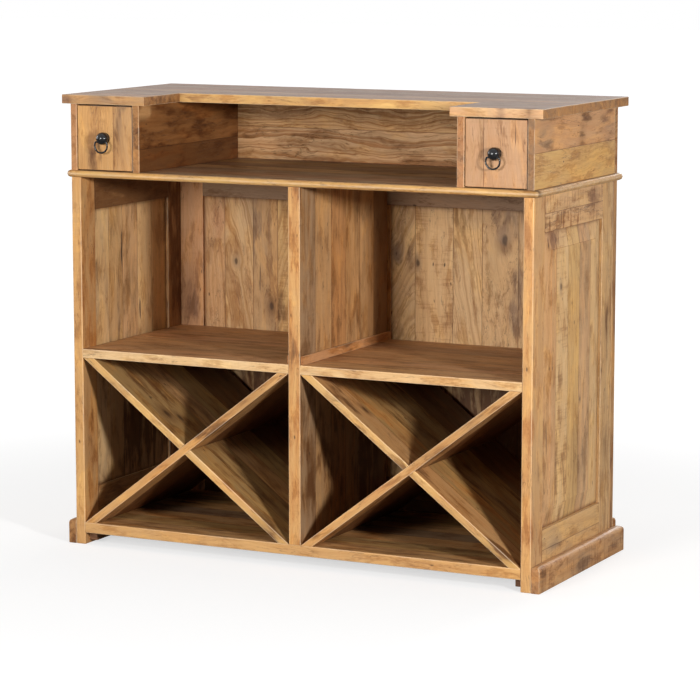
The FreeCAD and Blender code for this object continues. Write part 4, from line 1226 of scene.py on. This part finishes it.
class BAR_OT_racks(bpy.types.Operator):
    """Build the crossed boards of the two bottle racks"""
    bl_idname = "bar.racks"
    bl_label = "Bottle racks"
    bl_options = OPTIONS

    THICK = 18 * MM
    GAP = 0.12 * MM

    def execute(self, context):
        for side in SIDES:
            for way in ("rising", "falling"):
                self.make_rack_board(f"{side}_rack_{way}_board", way)
        return {"FINISHED"}

    def make_rack_board(self, node, way):
        """A board cut level at both ends; where its slot is, its staves stop at the crossing."""
        low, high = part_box(node)
        wide = high.x - low.x
        tall = high.z - low.z
        rise = self.level_width(wide, tall)
        sign = 1 if way == "rising" else -1
        foot, head = (low.x, high.x)[::sign]
        # upper face first, then lower face, going up the board
        start = ((foot, low.z), (foot + sign * rise, low.z))
        end = ((head - sign * rise, high.z), (head, high.z))
        mid_x = (low.x + high.x) / 2
        mid_z = (low.z + high.z) / 2
        beside = sign * (rise / 2 + self.GAP)
        above = rise / 2 * tall / (wide - rise)
        near = ((mid_x - beside, mid_z), (mid_x, mid_z - above - self.GAP))
        far = ((mid_x, mid_z + above + self.GAP), (mid_x + beside, mid_z))
        size = (math.hypot(wide - rise, tall), high.y - low.y, self.THICK)
        spec = {**RACK_FRONTS[way], **BOARDS[node]}
        timber = Timber(f"{node}_timber")
        for place, model, _, _ in cut_staves(size, spec, node):
            front_half = place + model.size[1] / 2 < size[1] / 2
            slotted = front_half == (way == "falling")
            for first, last in [(start, near), (far, end)] if slotted else [(start, end)]:
                skip = math.dist(first[0], start[0])
                stave = model.part(skip, math.dist(first[0], last[0]))
                spot = Sloped(first, last, low.y + place, stave.size)
                timber.add_stave(stave, stave.lines(), spot,
                                 painter(stave, size, (skip, place), spec))
        finish_board(timber.build("board"), "case", "rack_wood", node)

    def level_width(self, wide, tall):
        """How wide a level cut through the sloping board is."""
        width = self.THICK
        for _ in range(30):
            width = self.THICK * math.hypot(wide - width, tall) / tall
        return width


class BAR_OT_plinths(bpy.types.Operator):
    """Build the plinth boards at both sides and the back"""
    bl_idname = "bar.plinths"
    bl_label = "Plinths"
    bl_options = OPTIONS

    ROUND = 9 * MM
    FINE = 1.2 * MM

    def execute(self, context):
        for side, axes, upper in (("right", "yzx", (self.FINE, self.ROUND)),
                                  ("left", "yzx", (self.ROUND, self.FINE)),
                                  ("back", "xzy", (self.FINE, self.ROUND))):
            make_board(f"{side}_plinth", axes, slot="frame_wood",
                       spec={"staves": "tan/umber/umber@sx", "butts": "",
                             "radii": {**dict.fromkeys(EDGES, self.FINE), "v1": upper}})
        return {"FINISHED"}


class BAR_OT_gallery(bpy.types.Operator):
    """Build the low gallery above the counter board"""
    bl_idname = "bar.gallery"
    bl_label = "Gallery"
    bl_options = OPTIONS

    def execute(self, context):
        for side in SIDES:
            for where in ("outer", "inner"):
                make_board(f"{side}_{where}_gallery_panel", "yzx", slot="gallery_wood",
                           spec={"butts": "u1 v0 v1"})
        make_board("gallery_back", "xzy", slot="gallery_wood", finish="sawn")
        return {"FINISHED"}


class BAR_OT_top(bpy.types.Operator):
    """Build the U-shaped bar top"""
    bl_idname = "bar.top"
    bl_label = "Top"
    bl_options = OPTIONS

    def execute(self, context):
        for node in ("top_main_board", "left_top_wing", "right_top_wing"):
            make_board(node, "xyz", slot="top_wood", finish="top",
                       spec={"arris": 1 * MM, "butts": "v1"})
        return {"FINISHED"}


class BAR_OT_drawers(bpy.types.Operator):
    """Build the two drawers"""
    bl_idname = "bar.drawers"
    bl_label = "Drawers"
    bl_options = OPTIONS

    PARTS = {"front": "zxy", "inner_side": "yzx", "outer_side": "yzx", "back": "xzy",
             "bottom": "xyz"}

    def execute(self, context):
        for side in SIDES:
            for part, axes in self.PARTS.items():
                make_board(f"{side}_drawer_{part}", axes, body=f"drawer_{side}",
                           slot="drawer_wood", spec={"arris": 0.7 * MM})
        return {"FINISHED"}


def arc(middle, radius, start, end, steps):
    """Points along part of a circle, from one angle to the other."""
    spins = [start + (end - start) * step / steps for step in range(steps + 1)]
    return [(middle[0] + radius * math.cos(spin), middle[1] + radius * math.sin(spin))
            for spin in spins]


def lathe(name, profile, centre, finish, turns=64):
    """Turns a closed outline of (radius, y) points about a level axis that runs front to back."""
    points = []
    faces = []
    inner = len(profile) - 2
    for turn in range(turns):
        spin = 2 * math.pi * turn / turns
        for radius, out in profile[1:-1]:
            points.append((centre[0] + radius * math.cos(spin), centre[1] + out,
                           centre[2] + radius * math.sin(spin)))
    front = len(points)
    points.append((centre[0], centre[1] + profile[0][1], centre[2]))
    points.append((centre[0], centre[1] + profile[-1][1], centre[2]))
    for turn in range(turns):
        here = turn * inner
        there = (turn + 1) % turns * inner
        faces.append((front, here, there))
        faces.append((front + 1, there + inner - 1, here + inner - 1))
        for k in range(inner - 1):
            faces.append((here + k, here + k + 1, there + k + 1, there + k))
    mesh = bpy.data.meshes.new(name)
    mesh.from_pydata(points, [], faces)
    mesh.validate()
    mesh.shade_smooth()
    mesh.set_sharp_from_angle(angle=math.radians(40))
    mesh.materials.append(material(finish))
    return new_object(name, mesh)


class NodeSheet(Recipe):
    """A Geometry Nodes tree with named inputs."""

    def __init__(self, name):
        self.tree = bpy.data.node_groups.new(name, "GeometryNodeTree")
        for way in ("INPUT", "OUTPUT"):
            self.tree.interface.new_socket("Geometry", in_out=way,
                                           socket_type="NodeSocketGeometry")
        self.inputs = {}
        self.source = self.tree.nodes.new("NodeGroupInput")

    def ask(self, name, kind, value):
        socket = self.tree.interface.new_socket(name, in_out="INPUT", socket_type=kind)
        socket.default_value = value
        self.inputs[socket.identifier] = value
        return Term(self, self.source.outputs[name])

    def end(self, geometry, finish):
        smooth = self.add("GeometryNodeSetShadeSmooth", {}, {"Geometry": geometry})
        real = self.add("GeometryNodeRealizeInstances", {}, {"Geometry": smooth})
        done = self.add("GeometryNodeSetMaterial", {}, {"Geometry": real,
                                                        "Material": material(finish)})
        self.add("NodeGroupOutput", {}, {0: done})

    def apply(self, name, mesh):
        """Runs the tree on a mesh and keeps the result as a plain mesh object."""
        carrier = new_object(name + "_carrier", mesh)
        modifier = carrier.modifiers.new("Build", "NODES")
        modifier.node_group = self.tree
        for identifier, value in self.inputs.items():
            modifier[identifier] = value
        graph = bpy.context.evaluated_depsgraph_get()
        result = bpy.data.meshes.new_from_object(carrier.evaluated_get(graph))
        result.name = name
        bpy.data.objects.remove(carrier)
        return new_object(name, result)


class BAR_OT_ironwork(bpy.types.Operator):
    """Build the knobs, their bolts and the drop rings"""
    bl_idname = "bar.ironwork"
    bl_label = "Ironwork"
    bl_options = OPTIONS

    BASE = 13 * MM
    BASE_THICK = 1.5 * MM
    PIN = 6.5 * MM  # from the middle of the knob to where a pin comes out
    BEND = 2.4 * MM

    def execute(self, context):
        for side in SIDES:
            self.make_knob(side, context.scene.bar_iron)
            self.make_ring(side, context.scene.bar_iron)
            refinish("steel", f"{side}_knob_bolt")
        return {"FINISHED"}

    def make_knob(self, side, iron):
        """A ball on a thin rounded base."""
        low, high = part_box(f"{side}_knob")
        ball = (high.x - low.x) / 2
        centre_y = low.y + ball
        back = high.y - centre_y
        meet = back - self.BASE_THICK
        soft = iron.base_lip
        outline = [
            *arc((0, 0), ball, math.pi, math.acos(meet / ball), 26),
            *arc((meet + soft, self.BASE - soft), soft, math.pi, math.pi / 2, 5),
            (back, self.BASE), (back, 0.0)]
        outline[0] = (-ball, 0.0)
        centre = ((low.x + high.x) / 2, centre_y, (low.z + high.z) / 2)
        piece = lathe(f"{side}_knob_ball", [(radius, out) for out, radius in outline], centre,
                      "iron")
        finish_board(piece, f"drawer_{side}", "black_iron", f"{side}_knob")

    def make_ring(self, side, iron):
        """A wire ring whose ends turn in to the pins in the knob."""
        low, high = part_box(f"{side}_drop_ring")
        wire = iron.wire
        middle = (low.x + high.x) / 2
        plane = (low.y + high.y) / 2
        radius = (high.x - low.x) / 2 - wire
        centre_z = low.z + wire + radius
        rise = high.z - wire - centre_z
        inner = radius - self.BEND
        bend_z = rise - self.BEND
        bend_x = math.sqrt(inner * inner - bend_z * bend_z)
        stop = math.atan2(bend_z, bend_x)
        half = [(self.PIN, rise), (self.PIN + (bend_x - self.PIN) / 2, rise),
                *arc((bend_x, bend_z), self.BEND, math.pi / 2, stop, 6),
                *arc((0, 0), radius, stop, -math.pi / 2, 40)[1:-1]]
        path = [*half, (0.0, -radius), *((-x, z) for x, z in reversed(half))]
        mesh = bpy.data.meshes.new("ring_path")
        points = [(middle + x, plane, centre_z + z) for x, z in path]
        mesh.from_pydata(points, [(i, i + 1) for i in range(len(points) - 1)], [])
        sheet = NodeSheet("drop_ring")
        thick = sheet.ask("Wire radius", "NodeSocketFloat", wire)
        around = sheet.ask("Sides", "NodeSocketInt", 20)
        source = Term(sheet, sheet.source.outputs["Geometry"])
        curve = sheet.add("GeometryNodeMeshToCurve", {}, {"Mesh": source})
        section = sheet.add("GeometryNodeCurvePrimitiveCircle", {}, {"Resolution": around,
                                                                     "Radius": thick})
        tube = sheet.add("GeometryNodeCurveToMesh", {}, {"Curve": curve, "Fill Caps": True,
                                                         "Profile Curve": section})
        sheet.end(tube, "iron")
        piece = sheet.apply(f"{side}_ring_wire", mesh)
        finish_board(piece, f"ring_{side}", "black_iron", f"{side}_drop_ring")


class BAR_OT_fixings(bpy.types.Operator):
    """Finish the hidden dowels and screws"""
    bl_idname = "bar.fixings"
    bl_label = "Dowels and screws"
    bl_options = OPTIONS

    def execute(self, context):
        refinish("raw", "counter_dowels", "board_dowels", "top_dowels", "back_frame_dowels")
        refinish("steel", "gallery_screws")
        return {"FINISHED"}


class BAR_OT_stage(bpy.types.Operator):
    """Set the floor, the lamps, the world and the camera"""
    bl_idname = "bar.stage"
    bl_label = "Stage"
    bl_options = OPTIONS

    # where each lamp stands and how wide it is
    LAMPS = {"key": ((3.72, -2.35, 1.45), 0.4), "fill": ((-0.5, -5.2, 1.6), 1.3),
             "overhead": ((0.2, 0.4, 4.2), 3.0), "rear": ((0.3, 5.0, 2.3), 2.2),
             "side": ((-5.0, -0.6, 1.9), 2.2)}
    AIM = Vector((0.0, 0.0, 0.5))
    FLOOR = 30.0

    def execute(self, context):
        stage = context.scene.bar_stage
        self.make_floor(stage)
        self.make_world(stage)
        for name, (place, wide) in self.LAMPS.items():
            self.make_lamp(f"{name}_lamp", place, wide, getattr(stage, name))
        lens = bpy.data.cameras.new("main_view")
        lens.sensor_width = 36.0
        lens.lens = stage.lens
        lens.clip_end = 100.0
        camera = new_object("main_view", lens)
        camera.location = stage.spot
        camera.rotation_euler = (math.pi / 2 - stage.tilt, 0.0, stage.turn)
        context.scene.camera = camera
        context.scene.view_settings.view_transform = "Standard"
        return {"FINISHED"}

    def make_lamp(self, name, place, wide, watts):
        lamp = bpy.data.lights.new(name, "AREA")
        lamp.shape = "SQUARE"
        lamp.size = wide
        lamp.energy = watts
        carrier = new_object(name, lamp)
        carrier.location = place
        carrier.rotation_euler = (self.AIM - Vector(place)).to_track_quat("-Z", "Y").to_euler()

    def make_floor(self, stage):
        mesh = bpy.data.meshes.new("studio_floor")
        corners = ((-1, -1), (1, -1), (1, 1), (-1, 1))
        mesh.from_pydata([(x * self.FLOOR, y * self.FLOOR, 0) for x, y in corners], [],
                         [(0, 1, 2, 3)])
        r = Recipe(bpy.data.materials.new("studio_floor_paint"))
        place = r.where()
        speckle = r.ramp(r.noise(place, (40, 40, 40), 3), 0.3, 0.7)
        seen = r.add("ShaderNodeLightPath", out="Is Camera Ray")
        colour = r.mix(speckle * 0.04, linear(stage.floor), (0.7, 0.7, 0.7, 1.0))
        colour = r.mix(seen, linear(stage.bounce), colour)
        paint = r.add("ShaderNodeBsdfPrincipled", {}, {"Base Color": colour, "Roughness": 0.8})
        glow = r.add("ShaderNodeEmission", {}, {"Strength": 1.25})
        away = r.ramp(r.vector("LENGTH", place, out=1), 1.0, 2.6, 0.5, 0.82)
        surface = r.add("ShaderNodeMixShader", {}, {0: seen * away, 1: paint, 2: glow})
        r.add("ShaderNodeOutputMaterial", {}, {"Surface": surface})
        mesh.materials.append(r.owner)
        new_object("studio_floor", mesh)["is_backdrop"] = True

    def make_world(self, stage):
        """White for the camera and in reflections, and a weak warm light for the rest."""
        world = bpy.data.worlds.new("studio")
        bpy.context.scene.world = world
        r = Recipe(world)
        camera = r.add("ShaderNodeLightPath", out="Is Camera Ray")
        glossy = Term(r, camera.socket.node.outputs["Is Glossy Ray"])
        room = r.add("ShaderNodeBackground", {}, {"Color": (1.0, 0.97, 0.93, 1.0),
                                                  "Strength": stage.ambient})
        white = r.add("ShaderNodeBackground", {}, {"Color": (1.0, 1.0, 1.0, 1.0)})
        seen = camera.maths("MAXIMUM", glossy)
        surface = r.add("ShaderNodeMixShader", {}, {0: seen, 1: room, 2: white})
        r.add("ShaderNodeOutputWorld", {}, {"Surface": surface})


OPERATORS = (BAR_OT_stage, BAR_OT_side_frames, BAR_OT_back_frame, BAR_OT_case_boards,
             BAR_OT_racks, BAR_OT_plinths, BAR_OT_gallery, BAR_OT_top, BAR_OT_drawers,
             BAR_OT_ironwork, BAR_OT_fixings)


class BAR_PT_panel(bpy.types.Panel):
    """Lists the settings and the steps that build the counter"""
    bl_label = "Bar counter"
    bl_idname = "BAR_PT_panel"
    bl_space_type = "VIEW_3D"
    bl_region_type = "UI"
    bl_category = "Bar counter"

    def draw(self, context):
        for group, kind in SETTINGS.items():
            box = self.layout.box()
            box.label(text=kind.__doc__)
            for name in kind.__annotations__:
                box.prop(getattr(context.scene, group), name)
        for operator in OPERATORS:
            self.layout.operator(operator.bl_idname)


def register():
    for kind in (*SETTINGS.values(), *OPERATORS, BAR_PT_panel):
        bpy.utils.register_class(kind)
    for group, kind in SETTINGS.items():
        setattr(bpy.types.Scene, group, PointerProperty(type=kind))


def unregister():
    for group in SETTINGS:
        delattr(bpy.types.Scene, group)
    for kind in reversed((*SETTINGS.values(), *OPERATORS, BAR_PT_panel)):
        bpy.utils.unregister_class(kind)


def main():
    register()
    for operator in OPERATORS:
        group, step = operator.bl_idname.split(".")
        getattr(getattr(bpy.ops, group), step)()
    boxes = {"cad": CAD_BOX, "visual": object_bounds()}
    {key: [list(corner) for corner in box] for key, box in boxes.items()}


if __name__ == "__main__":
    main()
